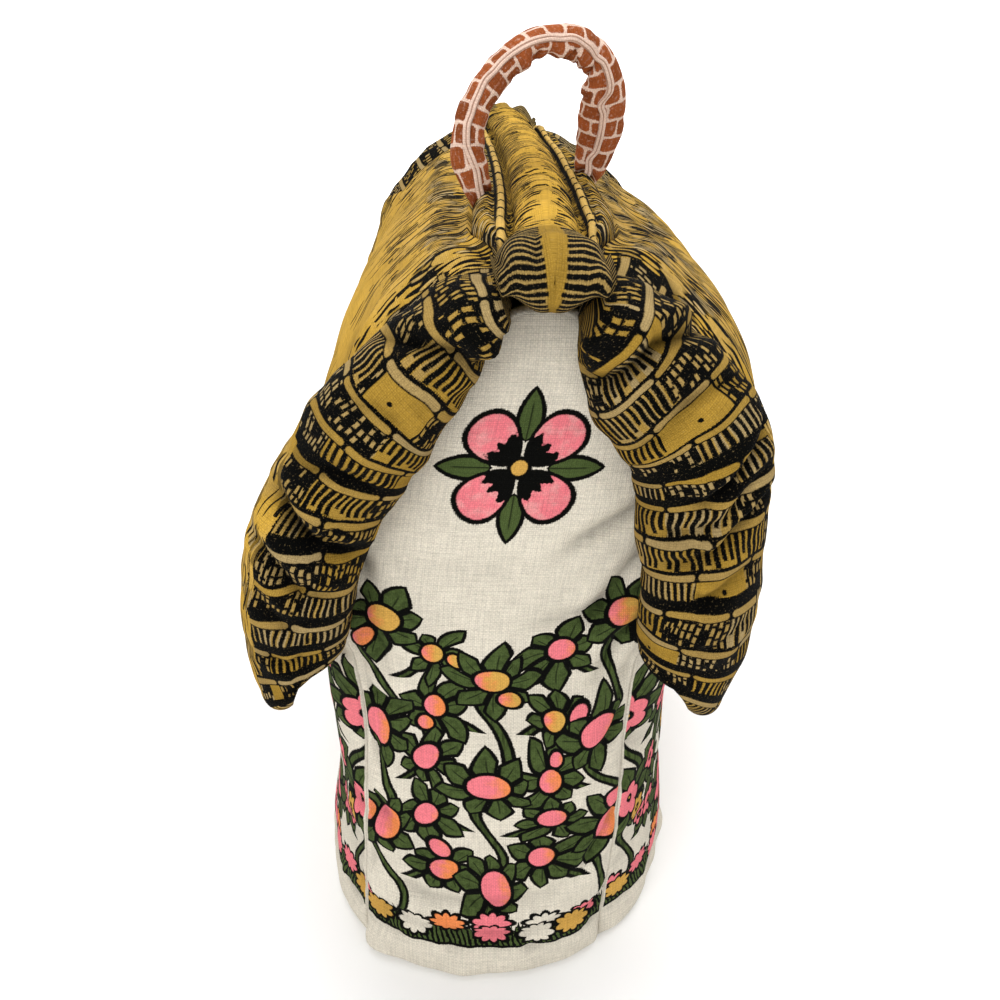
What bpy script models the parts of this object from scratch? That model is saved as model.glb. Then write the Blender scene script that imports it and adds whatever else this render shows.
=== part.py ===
"""Padded cloth tea cosy in the shape of a thatched cottage, with a loop to lift it by.

Four padded wall panels stand on their hems around the pot. Two thick roof slopes and a ridge cap
close the top, and each slope ends in a fat roll that hangs in front of the gable wall.
The ridge runs along Y, the front gable faces -Y, and the origin is under the middle, at the hem.
Sizes are in millimetres until a point is placed.
"""

import math
from functools import partial

import bmesh
import bpy
import numpy as np
from mathutils import Vector
from mathutils.bvhtree import BVHTree

MM = 0.001

# Roof
ROOF_HALF_LENGTH = 146.5     # from the middle to the front of a verge roll
TROUGH_Y = 106.0             # valley behind a verge roll
TROUGH_DEPTH = 6.0
ROLL_DEPTH = 15.5            # half of a verge roll's size along Y
SLAB = 16.0                  # thickness of the padded roof
CAP_HALF = 26.0              # half width of the ridge cap, along the arch
CAP_HALF_END = 15.0          # the same at the gables
CAP_NARROWS = (62.0, 112.0)  # the cap narrows between these distances from the middle
CREST = 6.0                  # the cap's middle roll stands this far above the arch
CREST_HALF = 13.5            # half width of the middle roll
CREST_CURVE = 2.4            # power of its curve
GROOVE = 1.0                 # the grooves beside it are this far below the arch
FLANK = 3.0                  # the cap's flanks stand this far above the grooves
EDGE_SINK = 2.5              # and their edges this far below them
KNOB_DEPTH = 15.0            # the cap's end is rounded over this length
KNOB_FORWARD = 1.5           # it reaches this far past the verge rolls
KNOB_DIP = 1.8               # the cap dips this much behind its end
EAVE_S = 170.0               # arch length from the ridge to the eave
TIP_S = 179.0                # arch length from the ridge to a corner of the eave
LIP_LIFT = 5.0               # the inner edge of a roll ends this much higher than its outer one
SEAM_PINCH = 4.5             # how far a seam draws the cloth in
SEAM_WIDTH = 14.0            # over this width of it
EAVE_TURN = 9.0              # the eave is rounded over this length
EAVE_SHARE = 0.84            # the share of a slope's rows before that
EAVE_EDGE = 0.16             # the share of its thickness that is left at the very edge
TIP_FROM = 112.0             # a roll's tip draws in along Y beyond this distance from the middle
TIP_LEFT = 0.35              # to this share of its size

# Walls
WALL = 9.0                   # thickness of a padded wall
WALL_PINCH = 2.6             # how far a corner seam draws a wall in
HEM_ROUND = 4.0              # the hem's lower edge is rounded up to this height
HEM_TURN = 0.33              # the share of the wall that each skin turns in at the hem
SIDE_TOP = 158.0             # the side walls end here, under the roof
UNDER_FROM = 124.0           # above this height the roof's underside holds the walls in
TIP_HALF = 2.5               # half width of a gable wall at its apex
GABLE_CURVE = 2.6            # power of a gable's curve in plan
SIDE_CURVE = 4.4             # power of a side wall's curve in plan

# Heights of the rows of cloth in a wall; those of a side wall are in a gable wall too
SIDE_ROWS = (0, 1.4, 4, 16, 36, 56, 76, 95, 112, 124, 134, 146, SIDE_TOP)
GABLE_ROWS = (170, 184, 198, 212, 224, 234)

# Seams
GAP = 0.35                   # between pieces that meet
CAP_GAP = 0.5                # between the ridge cap and a slope
REST_GAP = 0.9               # between a verge roll and the gable wall behind it
FOOT_GAP = 0.85              # between a foot of the loop and the roof
FOOT_RINGS = 6               # rings of the loop that the roof lifts
AXIS_HEIGHT = 215.0          # the feet stand square to the roof, facing a line at this height
FOOT_RISE = 1.6              # each of them stands at least this much above the one before

# The way the filled cosy sways: height, then how far to the right at the near end, middle and far end
SWAY = (
    (0, 0, 0, 0),
    (90, 0, 0, 0),
    (125, -1, 4, 4),
    (150, -0.5, 9.5, 6),
    (190, 4.5, 13.5, 6.5),
    (225, 10.5, 14, 3.5),
    (265, 12, 10, 0.5),
    (310, 12, 9, 1),
)
SWAY_AT = 125.0              # the near and far columns hold this far from the middle
MIDDLE_X = 5.8               # the swayed cosy's middle is this far to the right of its hem's

# Loop
LOOP_SIDES = 12
LOOP_THICK = 5.2             # the loop is flattened where its half width is more than this
LOOP_RIB = 1.4               # the raised seam along the loop

# Outer line of the roof's cross section: half width, height
ARCH = (
    (0.0, 259.0), (14.0, 256.6), (28.0, 248.6), (41.0, 238.4), (54.0, 225.5), (64.0, 209.0),
    (70.5, 188.0), (74.5, 167.0), (75.8, 148.0), (74.0, 134.0), (68.6, 121.5), (59.5, 111.5),
)

# Verge roll: arch length from the ridge, thickness of the roll
ROLL = ((0, 19), (15, 19), (33, 24), (53, 31), (66, 34.5), (106, 35.5), (150, 34), (170, 31), (190, 29))

# Walls: height, half width left and right at the middle, corner seam left and right,
# middle of the gable, how far back the corner is from it
WALLS = (
    (0, 65, 68.5, 48, 41, 131.5, 15.5),
    (15, 65.5, 69, 48, 41, 131.5, 15.5),
    (55, 60, 65.5, 46.5, 44, 128.5, 13),
    (95, 64, 66, 44.5, 44.5, 126, 12),
    (118, 63.5, 63.5, 46, 46, 125.5, 11),
    (128, 60, 60, 48, 48, 125, 10),
    (146, 59.8, 59.8, 56.5, 56.5, 124.5, 8.5),
    (158, 59.6, 59.6, 58.6, 58.6, 124, 8),
)

# Folds across the verge rolls: side, end, arch length, depth, half width, slant
FOLDS = (
    ("left", -1, 42, 4.0, 4.0, 0.3),
    ("left", -1, 66, 2.5, 5.0, 0.2),
    ("left", -1, 112, 2.5, 5.0, 0.2),
    ("left", -1, 137, 3.5, 4.5, -0.2),
    ("left", -1, 158, 2.0, 4.0, 0.1),
    ("right", -1, 36, 4.0, 4.0, 0.5),
    ("right", -1, 54, 4.5, 4.5, 0.4),
    ("right", -1, 98, 3.5, 5.5, -0.4),
    ("right", -1, 128, 2.5, 5.0, 0.2),
    ("right", -1, 152, 2.0, 4.0, 0.1),
    ("left", 1, 50, 3.5, 5.0, -0.3),
    ("left", 1, 104, 3.0, 6.0, 0.3),
    ("left", 1, 146, 2.5, 5.0, 0.1),
    ("right", 1, 60, 3.5, 5.0, 0.3),
    ("right", 1, 118, 3.0, 6.0, -0.3),
    ("right", 1, 150, 2.5, 5.0, 0.1),
)

# Middle line of the loop, foot to foot: x, y, height, half width
LOOP = (
    (-13.3, -56.5, 253.0, 3.5), (-16.0, -53.5, 261.5, 4.6), (-18.0, -50.0, 269.5, 4.9),
    (-17.8, -46.0, 278.0, 4.8), (-13.6, -42.5, 286.6, 4.8), (-6.6, -39.0, 293.6, 4.9),
    (1.4, -35.0, 298.0, 5.1), (9.0, -31.0, 300.0, 5.3), (16.2, -27.0, 299.8, 5.3),
    (22.0, -23.0, 296.8, 5.6), (26.4, -19.0, 290.5, 6.4), (29.0, -14.5, 281.5, 7.0),
    (29.2, -10.0, 271.5, 6.9), (27.4, -7.0, 262.0, 5.6), (23.8, -4.5, 253.5, 4.0),
)


def smooth(value, start=0.0, end=1.0):
    """Ease from 0 to 1 as the value goes from start to end."""
    t = min(max((value - start) / (end - start), 0.0), 1.0)
    return t * t * (3.0 - 2.0 * t)


def bump(distance, width):
    """A soft bump, 1 at no distance."""
    return math.exp(-((distance / width) ** 2))


def through(rows, steps=12):
    """Points of a smooth curve through the rows, a Catmull-Rom spline."""
    rows = np.array(rows, dtype=float)
    rows = np.vstack((2 * rows[0] - rows[1], rows, 2 * rows[-1] - rows[-2]))
    points = []
    for a, b, c, d in zip(rows, rows[1:], rows[2:], rows[3:]):
        for step in range(steps):
            t = step / steps
            points.append(0.5 * (2 * b + (c - a) * t + (2 * a - 5 * b + 4 * c - d) * t * t
                                 + (3 * b - a - 3 * c + d) * t ** 3))
    points.append(rows[-2])
    return np.array(points)


class Line:
    """A smooth line through a table's rows, read by its length or by one of its columns."""

    def __init__(self, rows, by=None):
        self.points = through(rows)
        if by is None:
            steps = np.linalg.norm(np.diff(self.points, axis=0), axis=1)
            self.key = np.concatenate(((0.0,), np.cumsum(steps)))
        else:
            self.key = self.points[:, by]
        self.slope = np.gradient(self.points, self.key, axis=0)

    def at(self, key):
        return [float(np.interp(key, self.key, column)) for column in self.points.T]

    def along(self, key):
        return [float(np.interp(key, self.key, column)) for column in self.slope.T]


arch = Line(ARCH)
walls = Line(WALLS, by=0)
roll_sizes = Line(ROLL, by=0)
sways = Line(SWAY, by=0)


def roof_at(s, n):
    """Half width and height of a point at length s on the arch, n outside its line."""
    x, z = arch.at(s)
    dx, dz = arch.along(s)
    size = math.hypot(dx, dz)
    return x - n * dz / size, z + n * dx / size


# The roof's underside, read by height, is what the gable walls reach up to.
underside = sorted((z, x) for x, z in (roof_at(s, -SLAB) for s in range(0, 172, 3)))
UNDER_Z = [z for z, x in underside]
UNDER_X = [x for z, x in underside]
APEX = UNDER_Z[-1] - 1.5


def sway(y, z):
    """How far the filled cosy stands to the right of the straight one, measured from its middle."""
    near, middle, far = sways.at(z)[1:]
    t = y / SWAY_AT
    bend = 0.5 * (far + near) - middle
    return middle + 0.5 * (far - near) * t + bend * min(t * t, 1.0) - MIDDLE_X


def lean(x, y, z):
    """Place a point of the straight cosy where the filled one leans, in metres."""
    return Vector((x + sway(y, z), y, z)) * MM


def cap_half(y):
    """Half width of the ridge cap at y."""
    return CAP_HALF + (CAP_HALF_END - CAP_HALF) * smooth(abs(y), *CAP_NARROWS)


# ---------------------------------------------------------------- roof

FIELD = 0.56                 # the share of a slope's rows that lie between its rolls
CROWN = 0.36                 # the share of a roll's rows before its crown
UNDER_STEP = 0.3             # the share of a roll's rows before the gable wall
UNDER_LIP = 0.52             # the share of a roll's rows before its lower lip
FRONT_ANGLES = (math.radians(96.0), math.radians(114.0))    # a roll's two skins meet between these
LIP_ANGLE = math.radians(200.0)                             # and its lower lip is here
ROLL_Y = ROOF_HALF_LENGTH - ROLL_DEPTH                      # the middle of a verge roll
FOLD_STARTS = (100.0, 122.0)                                # its folds deepen between these
PUFF_ENDS = (60.0, TROUGH_Y)                                # the roof's puffed middle flattens out
FIELD_PUFF = 1.5                                            # how far it is puffed
DIP_FROM = 88.0                                             # the valley behind a roll starts here


def corner(z, side):
    """How far the corner of a gable wall is from its middle line."""
    row = walls.at(min(z, SIDE_TOP))
    seam = row[3] if side < 0 else row[4]
    if z < UNDER_FROM:
        return seam
    limit = float(np.interp(z, UNDER_Z, UNDER_X)) - 3 * GAP
    if z > SIDE_TOP:
        seam = limit
    return max(min(limit, seam), TIP_HALF)


def set_back(z):
    """How far the corners of a gable wall are behind its middle."""
    row = walls.at(min(z, SIDE_TOP))
    return row[6] * min(corner(z, 1) / row[4], 1.0)


def gable_face(x, z):
    """How far the face of a gable wall is from the middle."""
    edge = corner(z, x)
    return walls.at(min(z, SIDE_TOP))[5] - set_back(z) * min(abs(x) / edge, 1.0) ** GABLE_CURVE


def roll_path(t, depth, s, top):
    """Distance from the middle and offset of a verge roll's skin at t, from valley to front."""
    size = float(roll_sizes.at(s)[1])
    half = 0.5 * (size + top)
    centre = top - half
    if depth == 0:
        if t < CROWN:
            rise = smooth(t / CROWN)
            return TROUGH_Y + (ROLL_Y - TROUGH_Y) * t / CROWN, top - TROUGH_DEPTH * (1 - rise)
        angle = FRONT_ANGLES[0] * (t - CROWN) / (1 - CROWN)
        return ROLL_Y + ROLL_DEPTH * math.sin(angle), centre + half * math.cos(angle)
    if t < UNDER_STEP:
        x, z = roof_at(s, -SLAB)
        reach = gable_face(x, z) + REST_GAP
        return TROUGH_Y + (reach - TROUGH_Y) * t / UNDER_STEP, -SLAB
    lip = centre + half * math.cos(LIP_ANGLE)
    if t < UNDER_LIP:
        n = -SLAB + (lip + SLAB) * (t - UNDER_STEP) / (UNDER_LIP - UNDER_STEP)
        return gable_face(*roof_at(s, n)) + REST_GAP, n
    angle = LIP_ANGLE + (FRONT_ANGLES[1] - LIP_ANGLE) * (t - UNDER_LIP) / (1 - UNDER_LIP)
    return max(ROLL_Y + ROLL_DEPTH * math.sin(angle),
               gable_face(*roof_at(s, lip)) + REST_GAP), centre + half * math.cos(angle)


def knob_path(t, depth, top):
    """Distance from the middle and offset of the cap's skin at t, over its rounded end."""
    half = 0.5 * (top + SLAB)
    middle = ROOF_HALF_LENGTH + KNOB_FORWARD - KNOB_DEPTH
    if t < CROWN:
        rise = smooth(t / CROWN)
        y = TROUGH_Y + (middle - TROUGH_Y) * t / CROWN
        return y, top - KNOB_DIP * (1 - rise) if depth == 0 else -SLAB
    turn = (t - CROWN) / (1 - CROWN)
    angle = FRONT_ANGLES[0] * turn if depth == 0 else math.pi - (math.pi - FRONT_ANGLES[1]) * turn
    return middle + KNOB_DEPTH * math.sin(angle), top - half + half * math.cos(angle)


def slope_skin(side, u, v, depth):
    """A point of a roof slope: u from the near to the far gable, v from the ridge to the eave."""
    a = abs(u)
    end = -1 if u < 0 else 1
    y = min(a / FIELD, 1.0) * TROUGH_Y
    t = max((a - FIELD) / (1 - FIELD), 0.0)
    if t > 0:
        y = TROUGH_Y + t * (ROOF_HALF_LENGTH - TROUGH_Y)
    start = cap_half(y) + 0.5 * CAP_GAP
    tip = EAVE_S + (TIP_S - EAVE_S) * smooth(a, FIELD - 0.1, FIELD + 0.25)
    if depth == 1:
        tip -= LIP_LIFT * smooth(a, FIELD, FIELD + 0.2)
    share = 0.5 * (v + 1)
    turn = max((share - EAVE_SHARE) / (1 - EAVE_SHARE), 0.0) * 0.5 * math.pi
    length = tip - EAVE_TURN - start
    s = start + length * min(share / EAVE_SHARE, 1.0) + EAVE_TURN * math.sin(turn)
    pinch = SEAM_PINCH * (1 - smooth(s - start, 0.0, SEAM_WIDTH)) ** 1.5
    fold = 0.0
    for fold_side, fold_end, place, deep, width, slant in FOLDS:
        if (fold_side == "left") == (side < 0) and fold_end == end:
            fold += deep * bump(s - place - slant * (y - ROLL_Y), width) * smooth(y, *FOLD_STARTS)
    top = 1.0 - pinch - fold
    if t > 0:
        y, n = roll_path(t, depth, s, top)
    elif depth == 0:
        n = top + FIELD_PUFF * (1 - smooth(y, *PUFF_ENDS)) - TROUGH_DEPTH * smooth(y, DIP_FROM, TROUGH_Y)
    else:
        n = -SLAB
    squeeze = max(math.cos(turn), EAVE_EDGE)
    n = -0.5 * SLAB + (n + 0.5 * SLAB) * squeeze
    if turn > 0 and y > TIP_FROM:
        y = ROLL_Y + (y - ROLL_Y) * (TIP_LEFT + (1 - TIP_LEFT) * squeeze)
    x, z = roof_at(s, n)
    return lean(side * x, end * y, z)


def cap_skin(u, v, depth):
    """A point of the ridge cap: u from the near to the far gable, v across from left to right."""
    a = abs(u)
    end = -1 if u < 0 else 1
    y = min(a / FIELD, 1.0) * TROUGH_Y
    t = max((a - FIELD) / (1 - FIELD), 0.0)
    if t > 0:
        y = TROUGH_Y + t * (ROOF_HALF_LENGTH - TROUGH_Y)
    half = cap_half(y) - 0.5 * CAP_GAP
    s = abs(v) * half
    side = -1 if v < 0 else 1
    if s < CREST_HALF:
        top = CREST * (1 - (s / CREST_HALF) ** CREST_CURVE) - GROOVE
    else:
        across = (s - CREST_HALF) / (half - CREST_HALF)
        top = FLANK * math.sin(math.pi * across) - EDGE_SINK * across ** 3 - GROOVE
    if t > 0:
        y, n = knob_path(t, depth, top)
    elif depth == 0:
        n = top - KNOB_DIP * smooth(y, DIP_FROM, TROUGH_Y)
    else:
        n = -SLAB
    x, z = roof_at(s, n)
    return lean(side * x, end * y, z)


# ---------------------------------------------------------------- walls

def gable_base(u, z):
    """A point of a gable wall's face, u from -1 to 1 across it."""
    x = u * corner(z, u)
    return Vector((x, -gable_face(x, z), z))


def side_base(side, u, z):
    """A point of a side wall's face, u from -1 at the near corner to 1 at the far one."""
    row = walls.at(z)
    middle = row[1] if side < 0 else row[2]
    if z >= UNDER_FROM:
        middle = min(middle, float(np.interp(z, UNDER_Z, UNDER_X)) - 2 * GAP)
    edge = corner(z, side)
    y = u * (row[5] - set_back(z))
    return Vector((side * (edge + (middle - edge) * (1 - abs(u) ** SIDE_CURVE)), y, z))


def facing(base, u, z):
    """The outward direction of a wall, level with the floor."""
    step = 0.01
    near, far = base(u - step, z), base(u + step, z)
    along = far - near
    return Vector((along.y, -along.x, 0.0)).normalized()


def corner_facing(side, z):
    """The shared direction of two walls where they meet at a near corner."""
    gable = facing(gable_base, side * 0.98, min(z, SIDE_TOP))
    wall = facing(lambda u, h: side_base(side, u, h), -0.98, min(z, SIDE_TOP))
    wall *= side
    return (gable + wall).normalized()


def row_height(v, heights):
    """Height of a row of wall, v from -1 at the hem to 1 at the top."""
    return heights[round(0.5 * (v + 1) * (len(heights) - 1))]


def wall_sink(z, depth, pinch):
    """How far a wall's skin lies inside its face. At the hem both skins turn in, to a flat strip."""
    outer, inner = pinch, WALL - 0.4 * pinch
    turn = 0.0
    if z < HEM_ROUND:
        turn = 1.0 - math.sqrt(1.0 - (1.0 - z / HEM_ROUND) ** 2)
    turn *= HEM_TURN * (inner - outer)
    return outer + turn if depth == 0 else inner - turn


def gable_skin(end, u, v, depth):
    """A point of a gable wall."""
    z = row_height(v, SIDE_ROWS + GABLE_ROWS + (APEX,))
    point = gable_base(u, z)
    side = -1 if u < 0 else 1
    out = facing(gable_base, max(min(u, 0.98), -0.98), z)
    if z <= SIDE_TOP:
        out = out.lerp(corner_facing(side, z), abs(u) ** 8).normalized()
    point -= out * wall_sink(z, depth, WALL_PINCH * abs(u) ** 7)
    point -= Vector((-out.y, out.x, 0.0)) * (0.5 * GAP * u)
    if end > 0:
        point.y = -point.y
    return lean(*point)


def side_skin(side, u, v, depth):
    """A point of a side wall."""
    z = row_height(v, SIDE_ROWS)
    point = side_base(side, u, z)
    out = facing(lambda a, h: side_base(side, a, h), max(min(u, 0.98), -0.98), z) * side
    shared = corner_facing(side, z)
    if u > 0:
        shared = Vector((shared.x, -shared.y, 0.0))
    out = out.lerp(shared, abs(u) ** 14).normalized()
    point -= out * wall_sink(z, depth, WALL_PINCH * abs(u) ** 12)
    point -= Vector((-out.y, out.x, 0.0)) * (0.5 * GAP * u * side)
    return lean(*point)


# ---------------------------------------------------------------- making

def cloth(name, colour, roughness):
    """A plain cloth material."""
    material = bpy.data.materials.new(name)
    material.use_nodes = True
    shader = material.node_tree.nodes["Principled BSDF"]
    shader.inputs["Base Color"].default_value = (*colour, 1.0)
    shader.inputs["Roughness"].default_value = roughness
    shader.inputs["Metallic"].default_value = 0.0
    return material


def finish(bm, name, material):
    """Close a shape into an object of its own."""
    bmesh.ops.recalc_face_normals(bm, faces=bm.faces)
    if bm.calc_volume(signed=True) < 0.0:
        bmesh.ops.reverse_faces(bm, faces=bm.faces)
    mesh = bpy.data.meshes.new(name)
    bm.to_mesh(mesh)
    bm.free()
    mesh.shade_smooth()
    mesh.set_sharp_from_angle(angle=math.radians(50.0))
    mesh.materials.append(material)
    piece = bpy.data.objects.new(name, mesh)
    bpy.context.collection.objects.link(piece)
    return piece


def padded(name, across, along, skin, material):
    """A padded panel: a grid and its copy on the inner side, joined along their edges."""
    bm = bmesh.new()
    bmesh.ops.create_grid(bm, x_segments=across, y_segments=along, size=1.0)
    inner = bmesh.ops.extrude_face_region(bm, geom=bm.faces[:])["geom"]
    inner = [item for item in inner if isinstance(item, bmesh.types.BMVert)]
    bmesh.ops.translate(bm, verts=inner, vec=(0.0, 0.0, 1.0))
    for vert in bm.verts:
        vert.co = skin(vert.co.x, vert.co.y, round(vert.co.z))
    return finish(bm, name, material)


def lifted(place, skins, lift, lands):
    """Keep a point at least lift above the roof's skin, or exactly there where the loop lands."""
    inward = (Vector((sway(place.y, place.z), place.y, AXIS_HEIGHT)) - place).normalized()
    start = place - 40.0 * inward
    hits = [skin.ray_cast(start * MM, inward)[3] for skin in skins]
    reach = min(hit for hit in hits if hit) / MM
    if lands or reach - 40.0 < lift:
        return start + (reach - lift) * inward
    return place


def handle_loop(material, roof):
    """The stuffed tube of the loop, with its raised seam, standing on the roof by both feet."""
    view = bpy.context.evaluated_depsgraph_get()
    skins = [BVHTree.FromObject(piece, view) for piece in roof]
    path = through(LOOP, 3)
    bm = bmesh.new()
    rings = []
    for index, (*point, half) in enumerate(path):
        before, after = path[max(index - 1, 0)], path[min(index + 1, len(path) - 1)]
        ahead = Vector((after - before)[:3]).normalized()
        out = Vector((0.0, -1.0, 0.35))
        out = (out - out.dot(ahead) * ahead).normalized()
        across = ahead.cross(out)
        ring = []
        from_foot = min(index, len(path) - 1 - index)
        half = float(half)
        thick = min(half, LOOP_THICK)
        for spoke in range(LOOP_SIDES):
            angle = 2 * math.pi * spoke / LOOP_SIDES
            rib = LOOP_RIB if spoke == 0 else 0.0
            place = Vector(point) + (thick + rib) * math.cos(angle) * out + half * math.sin(angle) * across
            if from_foot < FOOT_RINGS:
                place = lifted(place, skins, FOOT_GAP + from_foot * FOOT_RISE, from_foot == 0)
            ring.append(bm.verts.new(place * MM))
        rings.append(ring)
    for ring, after in zip(rings, rings[1:]):
        for a in range(LOOP_SIDES):
            b = (a + 1) % LOOP_SIDES
            bm.faces.new((ring[a], ring[b], after[b], after[a]))
    for ring, point in ((rings[0], path[0][:3]), (rings[-1], path[-1][:3])):
        for share in (0.66, 0.33, 0.0):
            sole = []
            for vert in ring:
                place = lifted(Vector(point).lerp(vert.co / MM, share), skins, FOOT_GAP, True)
                sole.append(bm.verts.new(place * MM))
            for a in range(LOOP_SIDES):
                b = (a + 1) % LOOP_SIDES
                bm.faces.new((ring[a], ring[b], sole[b], sole[a]))
            ring = sole
    bmesh.ops.remove_doubles(bm, verts=bm.verts, dist=0.00001)
    return finish(bm, "handle_loop", material)


def build():
    for item in list(bpy.data.objects):
        bpy.data.objects.remove(item, do_unlink=True)
    thatch = cloth("thatch_cloth", (0.55, 0.33, 0.06), 0.9)
    linen = cloth("wall_cloth", (0.76, 0.72, 0.63), 0.9)
    brick = cloth("brick_cloth", (0.35, 0.1, 0.05), 0.9)
    roof = [padded("ridge_cap", 34, 12, cap_skin, thatch)]
    for side, word in ((-1, "left"), (1, "right")):
        roof.append(padded("roof_" + word, 34, 20, partial(slope_skin, side), thatch))
        padded("side_" + word, 16, len(SIDE_ROWS) - 1, partial(side_skin, side), linen)
    for end, word in ((-1, "near"), (1, "far")):
        rows = len(SIDE_ROWS) + len(GABLE_ROWS)
        padded("gable_" + word, 14, rows, partial(gable_skin, end), linen)
    handle_loop(brick, roof)


build()
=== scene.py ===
"""Padded tea cosy in the shape of a thatched cottage: its cloth, prints, folds and seams.

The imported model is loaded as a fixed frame. Every padded panel is made anew on the same lines, finer,
with its folds, puckers and weave, and stands for its plain node.
Sizes are in millimetres until a point is placed. Run it as a script.
"""

import math
from functools import partial

import bmesh
import bpy
import numpy as np
from bpy.props import FloatProperty, FloatVectorProperty, PointerProperty
from mathutils import Matrix, Vector
from mathutils.bvhtree import BVHTree


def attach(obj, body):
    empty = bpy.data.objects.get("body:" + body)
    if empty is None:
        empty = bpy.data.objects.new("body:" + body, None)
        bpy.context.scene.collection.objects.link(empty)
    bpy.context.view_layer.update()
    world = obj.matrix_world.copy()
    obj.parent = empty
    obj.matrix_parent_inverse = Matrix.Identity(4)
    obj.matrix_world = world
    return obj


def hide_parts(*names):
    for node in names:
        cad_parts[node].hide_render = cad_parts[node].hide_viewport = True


bl_info = {
    "name": "Cottage tea cosy",
    "version": (1, 0, 0),
    "blender": (4, 5, 0),
    "location": "View3D > Sidebar > Cosy",
    "description": "Makes a padded tea cosy shaped like a thatched cottage around its frame",
    "category": "Add Mesh",
}

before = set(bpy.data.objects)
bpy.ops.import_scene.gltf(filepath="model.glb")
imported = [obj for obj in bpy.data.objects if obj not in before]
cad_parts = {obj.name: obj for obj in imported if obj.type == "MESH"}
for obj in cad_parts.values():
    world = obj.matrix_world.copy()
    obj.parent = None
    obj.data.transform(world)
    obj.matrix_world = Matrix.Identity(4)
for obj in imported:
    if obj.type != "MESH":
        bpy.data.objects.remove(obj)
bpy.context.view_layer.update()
MM = 0.001
TAU = 2 * math.pi

# Roof
ROOF_HALF_LENGTH = 146.5
TROUGH_Y = 106             # valley behind a verge roll
TROUGH_DEPTH = 6
ROLL_DEPTH = 15.5          # half of a verge roll's size along Y
ROLL_Y = ROOF_HALF_LENGTH - ROLL_DEPTH
SLAB = 16                  # thickness of the padded roof
CAP_HALF = 26              # half width of the ridge cap, along the arch
CAP_HALF_END = 15          # the same at the gables
CAP_NARROWS = (62, 112)
CREST = 6                  # the cap's middle roll stands this far above the arch
CREST_HALF = 10
CREST_HALF_END = 14.6
CREST_CURVE = 2.4
CREST_WIDENS = (98, 120)
GROOVE = 1
FLANK = 3
EDGE_SINK = 2.5
KNOB_DEPTH = 15
KNOB_FORWARD = 1.5
KNOB_DIP = 1.8
KNOB_LIFT = 2.2            # how far the cap's rounded ends are tucked up underneath
KNOB_PEAK = 6.6            # and how much further at their sides
PLEAT = 12.6               # middle of the pleat beside the ridge roll, and half its width
PLEAT_HALF = 0.95
EAVE_S = 170               # arch length from the ridge to the eave
TIP_S = 179                # arch length from the ridge to a corner of the eave
LIP_LIFT = 5
FIELD_LENGTH = 0.56        # share of a slope's length that lies between its rolls
TIP_DROPS = (0.46, 0.81)   # shares of that length over which the eave comes down to a corner
LIP_DROPS = (0.56, 0.76)   # the same for its inner side
SEAM_PINCH = 4.5
SEAM_WIDTH = 14
EAVE_TURN = 9
EAVE_SHARE = 0.84
EAVE_EDGE = 0.16
TIP_FROM = 112
TIP_LEFT = 0.35
PUFF_ENDS = (60, TROUGH_Y)
FIELD_PUFF = 1.5
DIP_FROM = 88
FIELD = 0.5                # the share of a slope's rows that lie between its rolls
CROWN = 0.36
UNDER_STEP = 0.3
UNDER_LIP = 0.52
FRONT_ANGLES = (math.radians(96), math.radians(114))
LIP_ANGLE = math.radians(200)

# Walls
WALL = 9
WALL_PINCH = 2.6
HEM_ROUND = 4
HEM_TURN = 0.33
HEM_GROOVE = 14.5          # height of the line where the hem is caught
SIDE_HALF_LENGTH = 112     # of a side wall, along its cloth
SIDE_TOP = 158
UNDER_FROM = 124
TIP_HALF = 2.5
GABLE_CURVE = 2.6
SIDE_CURVE = 4.4
SIDE_ROWS = (0, 1.4, 4, 16, 36, 56, 76, 95, 112, 124, 134, 146, SIDE_TOP)
GABLE_ROWS = (170, 184, 198, 212, 224, 234)

# Seams
GAP = 0.35
CAP_GAP = 0.5
REST_GAP = 0.9
FOOT_GAP = 0.4
AXIS_HEIGHT = 215

# The way the filled cosy sways: height, then how far to the right at the near end, middle and far end
SWAY = (
    (0, 0, 0, 0), (90, 0, 0, 0), (125, -1, 4, 4), (150, -0.5, 9.5, 6), (190, 4.5, 13.5, 6.5),
    (225, 10.5, 14, 3.5), (265, 12, 10, 0.5), (310, 12, 9, 1),
)
SWAY_AT = 125
MIDDLE_X = 5.8

# Outer line of the roof's cross section: half width, height
ARCH = (
    (0, 259), (14, 256.6), (28, 248.6), (41, 238.4), (54, 225.5), (64, 209),
    (70.5, 188), (74.5, 167), (75.8, 148), (74, 134), (68.6, 121.5), (59.5, 111.5),
)

# Verge roll: arch length from the ridge, thickness of the roll
ROLL = ((0, 19), (15, 19), (33, 24), (53, 31), (66, 34.5), (106, 35.5), (150, 34), (170, 31), (190, 29))

# Where a verge roll is thicker: side, end, middle and reach down the slope, by how much
SWELLS = (
    (1, -1, 38, 20, 6.5), (1, -1, 12, 9, -4), (-1, -1, 14, 12, -4), (-1, -1, 70, 14, 1.5),
    (1, 1, 40, 18, 3), (-1, 1, 60, 18, 2.5), (1, 1, 12, 9, -3), (-1, 1, 12, 9, -3),
)

# Walls: height, half width left and right at the middle, corner seam left and right,
# middle of the gable, how far back the corner is from it
WALLS = (
    (0, 65, 68.5, 48, 41, 131.5, 15.5), (15, 65.5, 69, 48, 41, 131.5, 15.5),
    (55, 60, 65.5, 46.5, 44, 128.5, 13), (95, 64, 66, 44.5, 44.5, 126, 12),
    (118, 63.5, 63.5, 46, 46, 125.5, 11), (128, 60, 60, 48, 48, 125, 10),
    (146, 59.8, 59.8, 56.5, 56.5, 124.5, 8.5), (158, 59.6, 59.6, 58.6, 58.6, 124, 8),
)

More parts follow.
